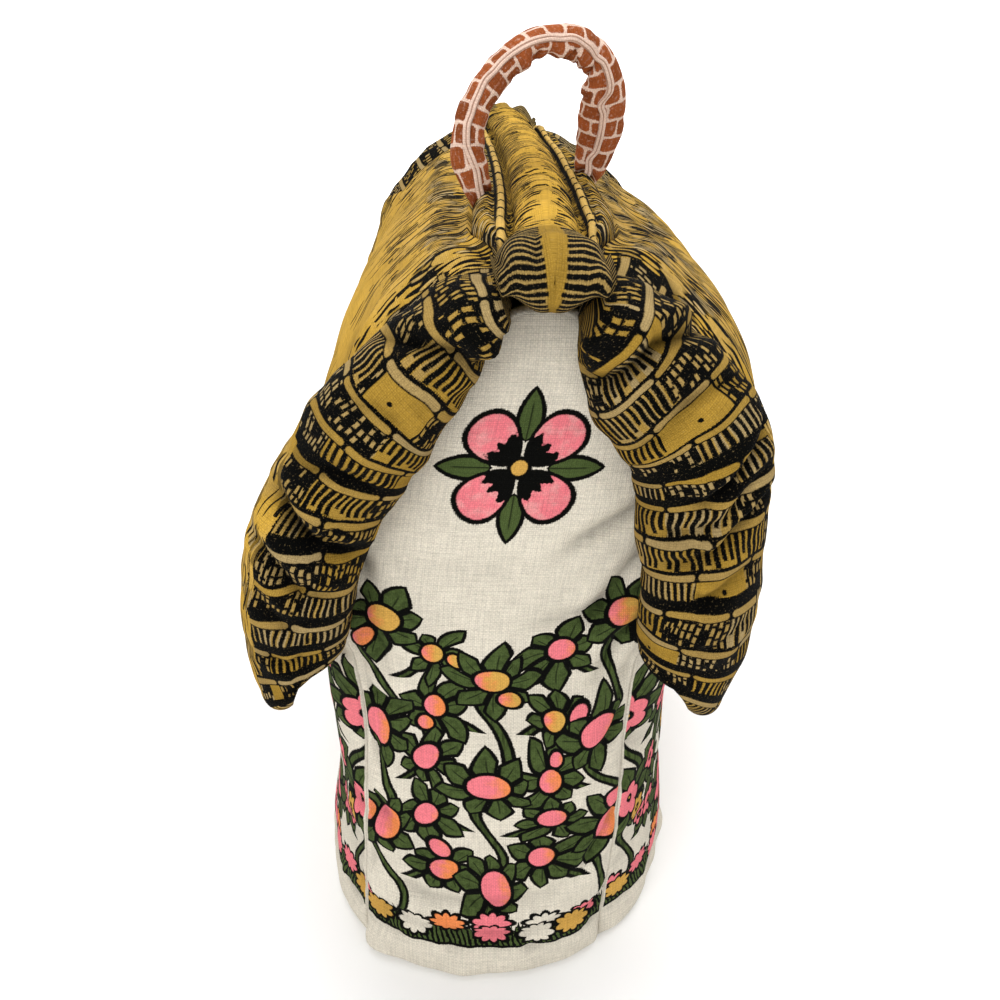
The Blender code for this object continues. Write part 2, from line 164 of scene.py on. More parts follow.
# Middle line of the loop, foot to foot: x, y, height, half width
LOOP = (
    (-12, -45, 254.5, 4), (-14.8, -46, 262, 5.4), (-16.8, -45.5, 269.8, 5.7),
    (-15.8, -43.5, 278, 5.2), (-11.6, -41, 286.4, 4.9), (-5.4, -38, 293.6, 4.8),
    (1.4, -35, 298.2, 5), (8.6, -31, 300, 5.2), (15.8, -27, 299.6, 5.4),
    (22, -23, 296.4, 5.9), (26.4, -19, 289.8, 7), (27.8, -14.5, 281, 7.9),
    (27.6, -10, 271.5, 7.8), (26, -7, 262, 6.4), (23.4, -4.5, 253.5, 4.4),
)
LOOP_THICK = 5.2
# Where the loop bends, as shares of its length: from, in full, until, no more
LOOP_BEND = (0.34, 0.5, 0.7, 0.85)
FOOT_ROWS = 2              # rows near each foot that are kept above the roof
CAST_FROM = 40             # the roof is looked for from this far behind them
FOOT_RISE = 3.6            # and how much further above it with each row
# Folds inside the loop's bend: share of its length, slant, depth, width
LOOP_FOLDS = (
    (0.40, 0.5, 0.8, 0.9), (0.465, -0.7, 1.7, 1), (0.52, 0.9, 1.5, 0.9), (0.565, -0.5, 1.9, 1.1),
    (0.615, 0.6, 2.3, 1.1), (0.66, -0.8, 1.9, 1), (0.71, 0.4, 1.2, 0.9), (0.3, 0.7, 0.7, 0.9),
    (0.84, -0.6, 0.9, 0.9),
)
SEAM_HALF = 1.25

NOISE_CELLS = 64           # soft noise comes round again after this many lumps
FOLD_CELLS = 9             # cells on each side over which folds are told from swells, for the painted shade in the folds
PRINT_TURN = 0.76          # share of a panel's length where its print has turned over the end
ROLL_EDGE = 162            # length of cloth from the middle of a slope to a roll's front seam

# Cells of each piece's grid: across and along, or for the loop between rows and around
GABLE_GRID = (96, 140)
SIDE_GRID = (160, 84)
ROOF_GRID = (240, 150)
CAP_GRID = (240, 60)
LOOP_GRID = (10, 28)
SEAM_CELLS = 12

# Prints, over the cloth
GABLE_PRINT_HALF = 50      # columns of sprigs stand within this of a gable's middle
SIDE_PRINT_HALF = 120      # and within this of a side wall's
SPRIG_LOW = 34             # lowest height of a sprig's middle
GRASS_TOP = 19             # stems start out of the grass here
MARGIN = 1.7               # plain cloth left beside the corner seams
COURSE_HEAD = 3.9          # room for the cord at the head of a course of straw
STRAW_PITCH = 2.2
THICKET_PITCH = 3.2
CORD_LENGTH = 20
CORD_HALF = 8.4
CORD_THICK = 1.15
STRIPE_PITCH = 2.15        # of the strokes across the cap's rounded ends
BRICK_LENGTH = 8.2
BRICK_HEIGHT = 6
BRICK_CORNER = 1.2         # radius of a brick's corners


# ---------------------------------------------------------------- lines and shapes

def smooth(value, start=0, end=1):
    """Ease from 0 to 1 as the value goes from start to end."""
    t = np.clip((value - start) / (end - start), 0, 1)
    return t * t * (3 - 2 * t)


def through(rows, steps=12):
    """Points of a smooth curve through the rows, a Catmull-Rom spline."""
    rows = np.array(rows, dtype=float)
    rows = np.vstack((2 * rows[0] - rows[1], rows, 2 * rows[-1] - rows[-2]))
    points = []
    for a, b, c, d in zip(rows, rows[1:], rows[2:], rows[3:]):
        for step in range(steps):
            t = step / steps
            points.append(0.5 * (2 * b + (c - a) * t + (2 * a - 5 * b + 4 * c - d) * t * t
                                 + (3 * b - a - 3 * c + d) * t ** 3))
    points.append(rows[-2])
    return np.array(points)


class Line:
    """A smooth line through a table's rows, read by its length or by one of its columns."""

    def __init__(self, rows, by=None):
        self.points = through(rows)
        if by is None:
            steps = np.linalg.norm(np.diff(self.points, axis=0), axis=1)
            self.key = np.concatenate(((0,), np.cumsum(steps)))
        else:
            self.key = self.points[:, by]
        self.slope = np.gradient(self.points, self.key, axis=0)

    def at(self, key, column):
        return np.interp(key, self.key, self.points[:, column])

    def along(self, key, column):
        return np.interp(key, self.key, self.slope[:, column])


arch = Line(ARCH)
walls = Line(WALLS, by=0)
roll_sizes = Line(ROLL, by=0)
sways = Line(SWAY, by=0)


def roof_at(s, n):
    """Half width and height of a point at length s on the arch, n outside its line."""
    dx, dz = arch.along(s, 0), arch.along(s, 1)
    size = np.hypot(dx, dz)
    return arch.at(s, 0) - n * dz / size, arch.at(s, 1) + n * dx / size


# The line of the roof's inner skin, from the eave up to the ridge
UNDER_X, UNDER_Z = (row[::-1] for row in roof_at(np.arange(0, 172, 3), -SLAB))
APEX = UNDER_Z[-1] - 1.5


def sway(y, z):
    """How far the filled cosy stands to the right of the straight one, measured from its middle."""
    near, middle, far = (sways.at(z, column) for column in (1, 2, 3))
    t = y / SWAY_AT
    bend = 0.5 * (far + near) - middle
    return middle + 0.5 * (far - near) * t + bend * np.minimum(t * t, 1) - MIDDLE_X


def lean(x, y, z):
    """Place points of the straight cosy where the filled one leans, in millimetres."""
    return np.stack((x + sway(y, z), y, z), axis=-1)


def cap_half(y):
    """Half width of the ridge cap at y."""
    return CAP_HALF + (CAP_HALF_END - CAP_HALF) * smooth(np.abs(y), *CAP_NARROWS)


def lengthwise(u, field):
    """Distance from the middle and the share of the verge roll, from u along the ridge."""
    a = np.abs(u)
    t = np.clip((a - field) / (1 - field), 0, 1)
    y = np.minimum(a / field, 1) * TROUGH_Y + t * (ROOF_HALF_LENGTH - TROUGH_Y)
    return y, t


# ---------------------------------------------------------------- where the roof meets the walls

def corner(z, side):
    """How far the corner of a gable wall is from its middle line."""
    row = np.minimum(z, SIDE_TOP)
    seam = np.where(side < 0, walls.at(row, 3), walls.at(row, 4))
    limit = np.interp(z, UNDER_Z, UNDER_X) - 3 * GAP
    seam = np.where(z > SIDE_TOP, limit, seam)
    high = np.maximum(np.minimum(limit, seam), TIP_HALF)
    return np.where(z < UNDER_FROM, seam, high)


def set_back(z):
    """How far the corners of a gable wall are behind its middle."""
    row = np.minimum(z, SIDE_TOP)
    return walls.at(row, 6) * np.minimum(corner(z, 1) / walls.at(row, 4), 1)


def gable_face(x, z):
    """How far the face of a gable wall is from the middle."""
    share = np.minimum(np.abs(x) / corner(z, x), 1)
    return walls.at(np.minimum(z, SIDE_TOP), 5) - set_back(z) * share ** GABLE_CURVE


# ---------------------------------------------------------------- roof

def swelling(side, u, s):
    """How much thicker a verge roll is than the plain one."""
    return sum(np.where(u * end > 0, amount, 0) * np.exp(-((s - middle) / reach) ** 2)
               for swell_side, end, middle, reach, amount in SWELLS if swell_side == side)


def roll_path(t, depth, s, top, more):
    """Distance from the middle and offset of a verge roll's skin at t, from valley to front."""
    size = roll_sizes.at(s, 1) + more
    half = 0.5 * (size + top)
    centre = top - half
    if depth == 0:
        rise = smooth(t / CROWN)
        angle = FRONT_ANGLES[0] * (t - CROWN) / (1 - CROWN)
        back = t < CROWN
        y = np.where(back, TROUGH_Y + (ROLL_Y - TROUGH_Y) * t / CROWN,
                     ROLL_Y + ROLL_DEPTH * np.sin(angle))
        return y, np.where(back, top - TROUGH_DEPTH * (1 - rise), centre + half * np.cos(angle))
    step = gable_face(*roof_at(s, -SLAB)) + REST_GAP
    lip = centre + half * math.cos(LIP_ANGLE)
    n_rise = -SLAB + (lip + SLAB) * (t - UNDER_STEP) / (UNDER_LIP - UNDER_STEP)
    angle = LIP_ANGLE + (FRONT_ANGLES[1] - LIP_ANGLE) * (t - UNDER_LIP) / (1 - UNDER_LIP)
    parts = [t < UNDER_STEP, t < UNDER_LIP]
    y = np.select(parts, [
        TROUGH_Y + (step - TROUGH_Y) * t / UNDER_STEP,
        gable_face(*roof_at(s, n_rise)) + REST_GAP,
    ], np.maximum(ROLL_Y + ROLL_DEPTH * np.sin(angle), gable_face(*roof_at(s, lip)) + REST_GAP))
    return y, np.select(parts, [np.full_like(s, -SLAB), n_rise], centre + half * np.cos(angle))


def knob_path(t, depth, top, s):
    """Distance from the middle and offset of the cap's skin at t, over its rounded end."""
    under = SLAB - (KNOB_LIFT + KNOB_PEAK * smooth(s, 3, 14)) * smooth(t / CROWN)
    half = 0.5 * (top + under)
    middle = ROOF_HALF_LENGTH + KNOB_FORWARD - KNOB_DEPTH
    turn = (t - CROWN) / (1 - CROWN)
    angle = FRONT_ANGLES[0] * turn if depth == 0 else math.pi - (math.pi - FRONT_ANGLES[1]) * turn
    flat = top - KNOB_DIP * (1 - smooth(t / CROWN)) if depth == 0 else -under
    back = t < CROWN
    return (np.where(back, TROUGH_Y + (middle - TROUGH_Y) * t / CROWN,
                     middle + KNOB_DEPTH * np.sin(angle)),
            np.where(back, flat, top - half + half * np.cos(angle)))


def slope_skin(side, u, v, depth):
    """Points of a roof slope: u from the near to the far gable, v from the ridge to the eave."""
    y, t = lengthwise(u, FIELD)
    end = np.where(u < 0, -1, 1)
    start = cap_half(y) + 0.5 * CAP_GAP
    a = FIELD_LENGTH * np.minimum(np.abs(u) / FIELD, 1) + (1 - FIELD_LENGTH) * t
    tip = EAVE_S + (TIP_S - EAVE_S) * smooth(a, *TIP_DROPS)
    if depth == 1:
        tip = tip - LIP_LIFT * smooth(a, *LIP_DROPS)
    share = 0.5 * (v + 1)
    turn = np.maximum((share - EAVE_SHARE) / (1 - EAVE_SHARE), 0) * 0.5 * math.pi
    length = tip - EAVE_TURN - start
    s = start + length * np.minimum(share / EAVE_SHARE, 1) + EAVE_TURN * np.sin(turn)
    pinch = SEAM_PINCH * (1 - smooth(s - start, 0, SEAM_WIDTH)) ** 1.5
    top = 1 - pinch
    roll_y, roll_n = roll_path(t, depth, s, top, swelling(side, u, s))
    if depth == 0:
        n = (top + FIELD_PUFF * (1 - smooth(y, *PUFF_ENDS))
             - TROUGH_DEPTH * smooth(y, DIP_FROM, TROUGH_Y))
    else:
        n = np.full_like(s, -SLAB)
    y, n = np.where(t > 0, roll_y, y), np.where(t > 0, roll_n, n)
    squeeze = np.maximum(np.cos(turn), EAVE_EDGE)
    n = -0.5 * SLAB + (n + 0.5 * SLAB) * squeeze
    drawn = ROLL_Y + (y - ROLL_Y) * (TIP_LEFT + (1 - TIP_LEFT) * squeeze)
    eased = smooth(y, TIP_FROM - 6, TIP_FROM + 6)
    y = np.where(turn > 0, y + (drawn - y) * eased, y)
    x, z = roof_at(s, n)
    return lean(side * x, end * y, z), s


def cap_skin(u, v, depth):
    """Points of the ridge cap: u from the near to the far gable, v across from left to right."""
    y, t = lengthwise(u, FIELD)
    end = np.where(u < 0, -1, 1)
    half = cap_half(y) - 0.5 * CAP_GAP
    s = np.abs(v) * half
    crest = CREST_HALF + (CREST_HALF_END - CREST_HALF) * smooth(y, *CREST_WIDENS)
    across = np.clip((s - crest) / np.maximum(half - crest, 0.5), 0, 1)
    roll = CREST * (1 - np.minimum(s / crest, 1) ** CREST_CURVE)
    top = roll + FLANK * np.sin(math.pi * across) - EDGE_SINK * across ** 3 - GROOVE
    knob_y, knob_n = knob_path(t, depth, top, s)
    if depth == 0:
        n = top - KNOB_DIP * smooth(y, DIP_FROM, TROUGH_Y)
    else:
        n = np.full_like(s, -SLAB)
    x, z = roof_at(s, np.where(t > 0, knob_n, n))
    return lean(np.where(v < 0, -x, x), end * np.where(t > 0, knob_y, y), z), np.sign(v) * s


# ---------------------------------------------------------------- walls

def level(x, y):
    """The horizontal direction square to another one."""
    out = np.stack((y, -x), axis=-1)
    return out / np.linalg.norm(out, axis=-1, keepdims=True)


def gable_base(u, z):
    """Plan points of a gable wall's face, u from -1 to 1 across it."""
    x = u * corner(z, u)
    return x, -gable_face(x, z)


def side_base(side, u, z):
    """Plan points of a side wall's face, u from -1 at the near corner to 1 at the far one."""
    middle = walls.at(z, 1 if side < 0 else 2)
    limit = np.interp(z, UNDER_Z, UNDER_X) - 2 * GAP
    middle = np.where(z >= UNDER_FROM, np.minimum(middle, limit), middle)
    edge = corner(z, np.full_like(z, side))
    y = u * (walls.at(z, 5) - set_back(z))
    return side * (edge + (middle - edge) * (1 - np.abs(u) ** SIDE_CURVE)), y


def facing(base, u, z):
    """The outward direction of a wall, level with the floor."""
    step = 0.01
    (x0, y0), (x1, y1) = base(u - step, z), base(u + step, z)
    return level(x1 - x0, y1 - y0)


def blended(a, b, share):
    """A direction between two others."""
    out = a + (b - a) * share[..., None]
    return out / np.linalg.norm(out, axis=-1, keepdims=True)


def corner_facing(side, z):
    """The shared direction of two walls where they meet at a near corner."""
    low = np.minimum(z, SIDE_TOP)
    edge = np.full_like(low, 0.98)
    gable = facing(gable_base, side * edge, low)
    left = facing(partial(side_base, -1), -edge, low) * -1
    right = facing(partial(side_base, 1), -edge, low)
    wall = np.where(np.asarray(side)[..., None] < 0, left, right)
    return blended(gable, wall, np.full_like(low, 0.5))


def wall_sink(z, depth, pinch):
    """How far a wall's skin lies inside its face. At the hem both skins turn in, to a flat strip."""
    outer, inner = pinch, WALL - 0.4 * pinch
    turn = 1 - np.sqrt(1 - np.clip(1 - z / HEM_ROUND, 0, 1) ** 2)
    turn = turn * HEM_TURN * (inner - outer)
    return outer + turn if depth == 0 else inner - turn


def sunk(x, y, out, sink, slide):
    """Plan points of a wall moved inwards, and along it away from its neighbour."""
    return x - out[..., 0] * sink + out[..., 1] * slide, y - out[..., 1] * sink - out[..., 0] * slide


def hem_wave(u, z, lumps, seed):
    """How far the soft hem stands out or in, the same for both skins."""
    low = (1 - smooth(z, 2, 22)) * smooth(1 - np.abs(u), 0, 0.14)
    return 1.7 * mottle(lumps * u + 30, z / 60, seed) * low


def wall_height(v, heights):
    """Height of a row of wall, v from -1 at the hem to 1 at the top."""
    return np.interp(0.5 * (v + 1), np.linspace(0, 1, len(heights)), heights)


def gable_skin(end, u, v, depth):
    """Points of a gable wall."""
    z = wall_height(v, SIDE_ROWS + GABLE_ROWS + (APEX,))
    x, y = gable_base(u, z)
    out = facing(gable_base, np.clip(u, -0.98, 0.98), z)
    shared = blended(out, corner_facing(np.where(u < 0, -1, 1), z), np.abs(u) ** 8)
    out = np.where((z <= SIDE_TOP)[..., None], shared, out)
    sink = wall_sink(z, depth, WALL_PINCH * np.abs(u) ** 7) - hem_wave(u, z, 4.2, 35 + end)
    x, y = sunk(x, y, out, sink, 0.5 * GAP * u)
    return lean(x, -end * y, z), z


def side_skin(side, u, v, depth):
    """Points of a side wall."""
    z = wall_height(v, SIDE_ROWS)
    x, y = side_base(side, u, z)
    out = facing(partial(side_base, side), np.clip(u, -0.98, 0.98), z) * side
    shared = corner_facing(np.full_like(z, side), z)
    shared = np.stack((shared[..., 0], np.where(u > 0, -shared[..., 1], shared[..., 1])), axis=-1)
    out = blended(out, shared, np.abs(u) ** 14)
    sink = wall_sink(z, depth, WALL_PINCH * np.abs(u) ** 12) - hem_wave(u, z, 9, 37 + side)
    return lean(*sunk(x, y, out, sink, 0.5 * GAP * u * side), z), z


# ---------------------------------------------------------------- folds and puckers

def mottle(a, b, seed):
    """Soft noise from -1 to 1 over a surface, one lump to each unit."""
    grid = np.random.default_rng(seed).uniform(-1, 1, (NOISE_CELLS, NOISE_CELLS))
    i, j = np.floor(a).astype(int), np.floor(b).astype(int)
    fa, fb = smooth(a - i), smooth(b - j)
    rows = [[grid[(i + di) % NOISE_CELLS, (j + dj) % NOISE_CELLS] for dj in (0, 1)]
            for di in (0, 1)]
    low, high = (row[0] + (row[1] - row[0]) * fb for row in rows)
    return low + (high - low) * fa


def crease(a, b, points, depth, width, lip=0):
    """A trough along a line of points, deepest in its middle, with soft ridges beside it.

    A lip above 0 raises the ridge on the side where b is lower, and below 0 the other one.
    """
    best, place, side = np.full(a.shape, 1e9), np.zeros(a.shape), np.ones(a.shape)
    points = np.array(points, dtype=float)
    lengths = np.linalg.norm(np.diff(points, axis=0), axis=1)
    total, before = lengths.sum(), 0
    for (pa, pb), (qa, qb), length in zip(points, points[1:], lengths):
        t = np.clip(((a - pa) * (qa - pa) + (b - pb) * (qb - pb)) / length ** 2, 0, 1)
        da, db = a - pa - t * (qa - pa), b - pb - t * (qb - pb)
        far = np.hypot(da, db)
        nearer = far < best
        best = np.where(nearer, far, best)
        place = np.where(nearer, (before + t * length) / total, place)
        side = np.where(nearer, np.clip(db / 2, -1, 1), side)
        before += length
    x = best / width
    strength = np.sin(math.pi * np.clip(0.04 + 0.92 * place, 0, 1)) ** 0.6
    ridge = (0.4 - 0.3 * lip * side) * np.exp(-((x - 2) / 1.1) ** 2)
    return strength * depth * (ridge - np.exp(-np.abs(x) ** 1.3))


def puckers(along, away, pitch, reach, seed):
    """Short folds that stand square to a seam and fade away from it."""
    fade = np.exp(-np.maximum(away, 0) / reach)
    wave = mottle(along / pitch, away / (3 * reach), seed)
    return fade * (wave + 0.5 * mottle(2.2 * along / pitch, away / reach, seed + 1))


def cell_of(vert, across, along):
    """The column and row of a grid's vertex that hasn't been moved yet."""
    return round(0.5 * (vert.co.x + 1) * across), round(0.5 * (vert.co.y + 1) * along)


def thicken(bm, faces):
    """A copy of a sheet of faces, joined to it at its rim."""
    made = bmesh.ops.extrude_face_region(bm, geom=faces)["geom"]
    return [item for item in made if isinstance(item, bmesh.types.BMVert)]


def print_at(bm, faces, spots):
    """Say where on its cloth each vertex of some faces lies."""
    uv = bm.loops.layers.uv.get("cloth") or bm.loops.layers.uv.new("cloth")
    for face in faces:
        for loop in face.loops:
            loop[uv].uv = spots[loop.vert]


def place_uv(points, across):
    """Length of cloth from the middle column of a grid of points."""
    steps = np.linalg.norm(np.diff(points, axis=0), axis=-1)
    a = np.concatenate((np.zeros((1, points.shape[1])), np.cumsum(steps, axis=0)))
    return a - a[across // 2]


def normals_of(points, inner):
    """Outward directions over a grid of points."""
    out = np.cross(np.gradient(points, axis=0), np.gradient(points, axis=1))
    size = np.linalg.norm(out, axis=-1, keepdims=True)
    out = out / np.maximum(size, 1e-9)
    flip = np.sign(np.sum(out * (points - inner), axis=-1, keepdims=True).mean())
    return out * flip


def padded_panel(name, across, along, skin, relief, material, nodes, slot):
    """A padded panel of cloth with its folds, made from a grid and its copy on the inner side."""
    u, v = np.meshgrid(np.linspace(-1, 1, across + 1), np.linspace(-1, 1, along + 1), indexing="ij")
    sides = [skin(u, v, depth) for depth in (0, 1)]
    lengths = [place_uv(points, across) for points, _ in sides]
    gap = np.linalg.norm(sides[0][0][[0, -1]] - sides[1][0][[0, -1]], axis=-1)
    near, far = (lengths[0][i] + lengths[1][i] + (2 * i + 1) * -gap[i] for i in (0, -1))
    wrapped = lengths[0], np.where(u < 0, near, far) - lengths[1]
    printed = lengths[0], np.where(np.abs(u) > PRINT_TURN, wrapped[1], lengths[1])
    bm = bmesh.new()
    bmesh.ops.create_grid(bm, x_segments=across, y_segments=along, size=1)
    bmesh.ops.translate(bm, verts=thicken(bm, bm.faces[:]), vec=(0, 0, 1))
    layers = []
    for depth, (points, down) in enumerate(sides):
        out = normals_of(points, sides[1 - depth][0])
        lift = relief(u, v, depth, wrapped[depth], down)
        # depth of the folds alone, kept on each vertex for the painted shade in the folds
        fold = lift - evened(lift, FOLD_CELLS)
        layers.append((points + out * lift[..., None], printed[depth], down, fold))
    settle(bm, across, along, layers)
    return finish(bm, name, [material], nodes)


def evened(values, reach):
    """Mean of a grid's values over a square around each of them."""
    for _ in range(2):
        sums = np.cumsum(np.pad(values, ((reach + 1, reach), (0, 0)), mode="edge"), axis=0)
        values = ((sums[2 * reach + 1:] - sums[:-2 * reach - 1]) / (2 * reach + 1)).T
    return values


def settle(bm, across, along, layers):
    """Move a grid's points to their places, with their lengths along the cloth and their folds."""
    # fold holds the depth of the folds, which the shader turns into painted shade
    fold, edge = bm.verts.layers.float.new("fold"), bm.verts.layers.float.new("edge")
    spots = {}
    for vert in bm.verts:
        points, a, b, lift = layers[round(vert.co.z)]
        i, j = cell_of(vert, across, along)
        vert.co = Vector(points[i, j]) * MM
        vert[fold] = float(lift[i, j])
        vert[edge] = float(min(a[i, j] - a[0, j], a[-1, j] - a[i, j]))
        spots[vert] = float(a[i, j]) * MM, float(b[i, j]) * MM
    print_at(bm, bm.faces, spots)


def made_object(bm, name, materials):
    """Turn a shape into an object with smooth faces."""
    mesh = bpy.data.meshes.new(name)
    bm.to_mesh(mesh)
    bm.free()
    mesh.shade_smooth()
    for material in materials:
        mesh.materials.append(material)
    made = bpy.data.objects.new(name, mesh)
    bpy.context.collection.objects.link(made)
    return made


def finish(bm, name, materials, nodes):
    """Close a shape into an object that stands for its nodes."""
    bmesh.ops.recalc_face_normals(bm, faces=bm.faces)
    if bm.calc_volume(signed=True) < 0:
        bmesh.ops.reverse_faces(bm, faces=bm.faces)
    piece = made_object(bm, name, materials)
    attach(piece, "root")
    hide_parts(*nodes)
    return piece


# ---------------------------------------------------------------- dyes and weaves

class Wire:
    """A number that runs through a cloth's nodes, used in formulas with ordinary operators."""

    def __init__(self, dye, socket):
        self.dye = dye
        self.socket = socket

    def __neg__(self):
        return self * -1

    def capped(self):
        """Held between 0 and 1."""
        return self.least(1).most(0)

    def rise(self, start, end):
        """Ease from 0 at start to 1 at end."""
        t = ((self - start) / (end - start)).capped()
        return t * t * (3 - 2 * t)

    def inside(self, edge, soft=0.3):
        """1 where this distance is less than edge, with a slightly soft border."""
        return ((edge - self) / soft + 0.5).capped()

    def lane(self):
        """The number of the lane, 1 wide, that this lies in, and how far off its middle it is."""
        number = self.floor()
        return number, abs(self - number - 0.5)


def wire_method(operation, swapped):
    """A method of a wire that sends it through one maths node, on either side of the other value."""
    def method(self, *other):
        return self.dye.number(operation, *((*other, self) if swapped else (self, *other)))
    return method


WIRE_METHODS = {
    "ADD": "__add__ __radd__", "SUBTRACT": "__sub__ __rsub__", "MULTIPLY": "__mul__ __rmul__",
    "DIVIDE": "__truediv__ __rtruediv__", "FLOORED_MODULO": "__mod__", "POWER": "__pow__",
    "ABSOLUTE": "__abs__", "GREATER_THAN": "__gt__", "LESS_THAN": "__lt__", "FLOOR": "floor",
    "SINE": "sin", "COSINE": "cos", "SQRT": "root", "MINIMUM": "least", "MAXIMUM": "most",
}
for operation, names in WIRE_METHODS.items():
    for name in names.split():
        setattr(Wire, name, wire_method(operation, name.startswith("__r")))


class Dye:
    """The nodes that colour one cloth."""

    def __init__(self, name, colours, sizes):
        self.material = bpy.data.materials.new(name)
        self.material.use_nodes = True
        self.tree = self.material.node_tree
        self.shader = self.tree.nodes["Principled BSDF"]
        self.shader.inputs["Roughness"].default_value = 0.92
        self.shader.inputs["Specular IOR Level"].default_value = 0.03
        self.shader.inputs["Sheen Weight"].default_value = 0.01
        self.shader.inputs["Sheen Roughness"].default_value = 0.5
        uv = self.put("ShaderNodeUVMap", {"uv_map": "cloth"})
        parts = self.put("ShaderNodeSeparateXYZ", {}, {0: uv.outputs[0]})
        self.a = Wire(self, parts.outputs[0]) * (1 / MM)
        self.b = Wire(self, parts.outputs[1]) * (1 / MM)
        self.colours, self.line = colours, sizes.ink_line
        self.thread = weave(self, self.a, self.b, sizes.thread)
        self.ragged = (self.thread - 0.4) * 0.32

    def put(self, kind, settings=None, values=None):
        """Add a node: first its settings, then the values or links of its inputs."""
        node = self.tree.nodes.new(kind)
        for key, value in (settings or {}).items():
            setattr(node, key, value)
        for key, value in (values or {}).items():
            if isinstance(value, Wire):
                value = value.socket
            if isinstance(value, bpy.types.NodeSocket):
                self.tree.links.new(value, node.inputs[key])
            else:
                node.inputs[key].default_value = value
        return node

    def number(self, operation, *values):
        """The result of one maths node."""
        node = self.put("ShaderNodeMath", {"operation": operation}, dict(enumerate(values)))
        return Wire(self, node.outputs[0])

    def turn(self, q, p):
        """The angle of a point."""
        return self.number("ARCTAN2", q, p)

    def spot(self, *parts):
        """A point made of numbers, for a texture to be read at."""
        return self.put("ShaderNodeCombineXYZ", {}, dict(enumerate(parts))).outputs[0]

    def chance(self, *parts):
        """A random number for each whole-numbered place."""
        node = self.put("ShaderNodeTexWhiteNoise", {"noise_dimensions": "3D"},
                        {"Vector": self.spot(*parts)})
        return Wire(self, node.outputs["Value"])

    def cloud(self, a, b, detail=2, seed=0):
        """Soft noise from 0 to 1, one lump to each unit."""
        node = self.put("ShaderNodeTexNoise", {"noise_dimensions": "3D"},
                        {"Vector": self.spot(a, b, seed), "Scale": 1, "Detail": detail,
                         "Roughness": 0.6})
        return Wire(self, node.outputs[0])

    def lumps(self, wide, high, detail=2, seed=0):
        """Soft noise over the cloth, in lumps of a size in millimetres."""
        return self.cloud(self.a / wide, self.b / high, detail, seed)

    def mix(self, share, a, b):
        """A colour between two others."""
        node = self.put("ShaderNodeMix", {"data_type": "RGBA"}, {0: share, 6: paint(a), 7: paint(b)})
        return node.outputs[2]

    def shade(self, colour, amount):
        """A colour made darker or lighter all over by an amount."""
        node = self.put("ShaderNodeVectorMath", {"operation": "SCALE"}, {0: colour, "Scale": amount})
        return node.outputs[0]

    def lay(self, under, distance, fill, mask=1):
        """Lay a filled shape with an inked outline over a colour."""
        distance = distance + self.ragged
        lined = self.mix(distance.inside(self.line) * mask, under, self.colours.ink)
        return self.mix(distance.inside(-self.line) * mask, lined, fill)

    def attribute(self, name):
        """A number that the shape stores at each vertex."""
        return Wire(self, self.put("ShaderNodeAttribute", {"attribute_name": name}).outputs["Fac"])

    def finish(self, colour, depth, folds):
        """Send the print and the weave to the cloth's shader, darker where the weave lies low (uneven
        yarn and painted shade between threads) and in its folds (painted shade).
        """
        grain = self.lumps(0.8, 0.8, 1, 5)
        # The colour follows the weave's height: darker between the threads as painted shade, and uneven
        # in its slubs and grain as real yarn
        colour = self.shade(colour, 0.55 + self.thread * 0.43 + grain * 0.33)
        # Painted shade: the colour is darkened in the folds, by their depth times the folds amount
        colour = self.shade(colour, 1 + self.attribute("fold").least(0).most(-4) * folds)
        bump = self.put("ShaderNodeBump", {},
                        {"Strength": 0.7, "Distance": depth * MM, "Height": self.thread})
        self.tree.links.new(bump.outputs[0], self.shader.inputs["Normal"])
        self.tree.links.new(colour, self.shader.inputs["Base Color"])
        return self.material


def paint(colour):
    """A colour as a socket takes it."""
    if isinstance(colour, (Wire, bpy.types.NodeSocket)):
        return colour
    return (*colour[:3], 1)


def faded(colour, share):
    """A deeper shade of a colour."""
    return tuple(share * part for part in colour)


def weave(dye, a, b, pitch):
    """Height of a plain weave with uneven threads, from 0 to 1."""
    wa, wb = a / pitch, b / pitch
    over = (wa.floor() + wb.floor()) % 2
    bumps = abs((wa * math.pi).sin()) * abs((wb * math.pi).sin())
    slub = dye.cloud(wa * 0.9, wb * 0.07, 1, 3) + dye.cloud(wa * 0.07, wb * 0.9, 1, 7)
    return bumps * 0.45 + over * 0.2 + (slub - 0.6) * 0.9


# ---------------------------------------------------------------- prints of the walls

def half_drop(a, b, width, height):
    """Place within a cell of a half drop repeat, its numbers and the height of its middle."""
    column = (a / width + 0.5).floor()
    drop = (column % 2) * (0.5 * height)
    row = ((b + drop) / height + 0.5).floor()
    middle = row * height - drop
    return a - column * width, b - middle, column, row, middle


def leaf_width(t):
    """Half the width of a leaf at a share of its length, 1 where it is widest."""
    t = t.capped()
    return t ** 0.6 * (1 - t) ** 0.85 * 2.67


def leaves_round(dye, under, p, q, luck, count, inner, reach, half, mask):
    """A ring of uneven leaves, each with its vein, laid over a colour."""
    far = (p * p + q * q).root()
    turn = (dye.turn(q, p) / TAU + luck) * count
    index = (turn + 0.5).floor()
    size = dye.chance(index % count, luck * 91, 1)
    sector = (turn - index) * (TAU / count)
    off = sector + (size - 0.5) * 0.4
    across = far * off.sin()
    length = (0.7 + 0.4 * size) * reach - inner
    t = (far * off.cos() - inner) / length
    edge = abs(across) - leaf_width(t) * half + (t - 1).most(-t).most(0) * length
    edge = edge.most(far * (abs(sector) - math.pi / count) + 0.3)
    green = dye.mix(dye.lumps(2.6, 2.6, 2, 5).rise(0.4, 0.7), dye.colours.leaf,
                    faded(dye.colours.leaf, 0.62))
    vein = abs(across + size * 0.5 - 0.25).inside(0.22, 0.2) * t.inside(0.74, 0.1)
    return dye.lay(under, edge, dye.mix(vein * 0.7, green, dye.colours.ink), mask)


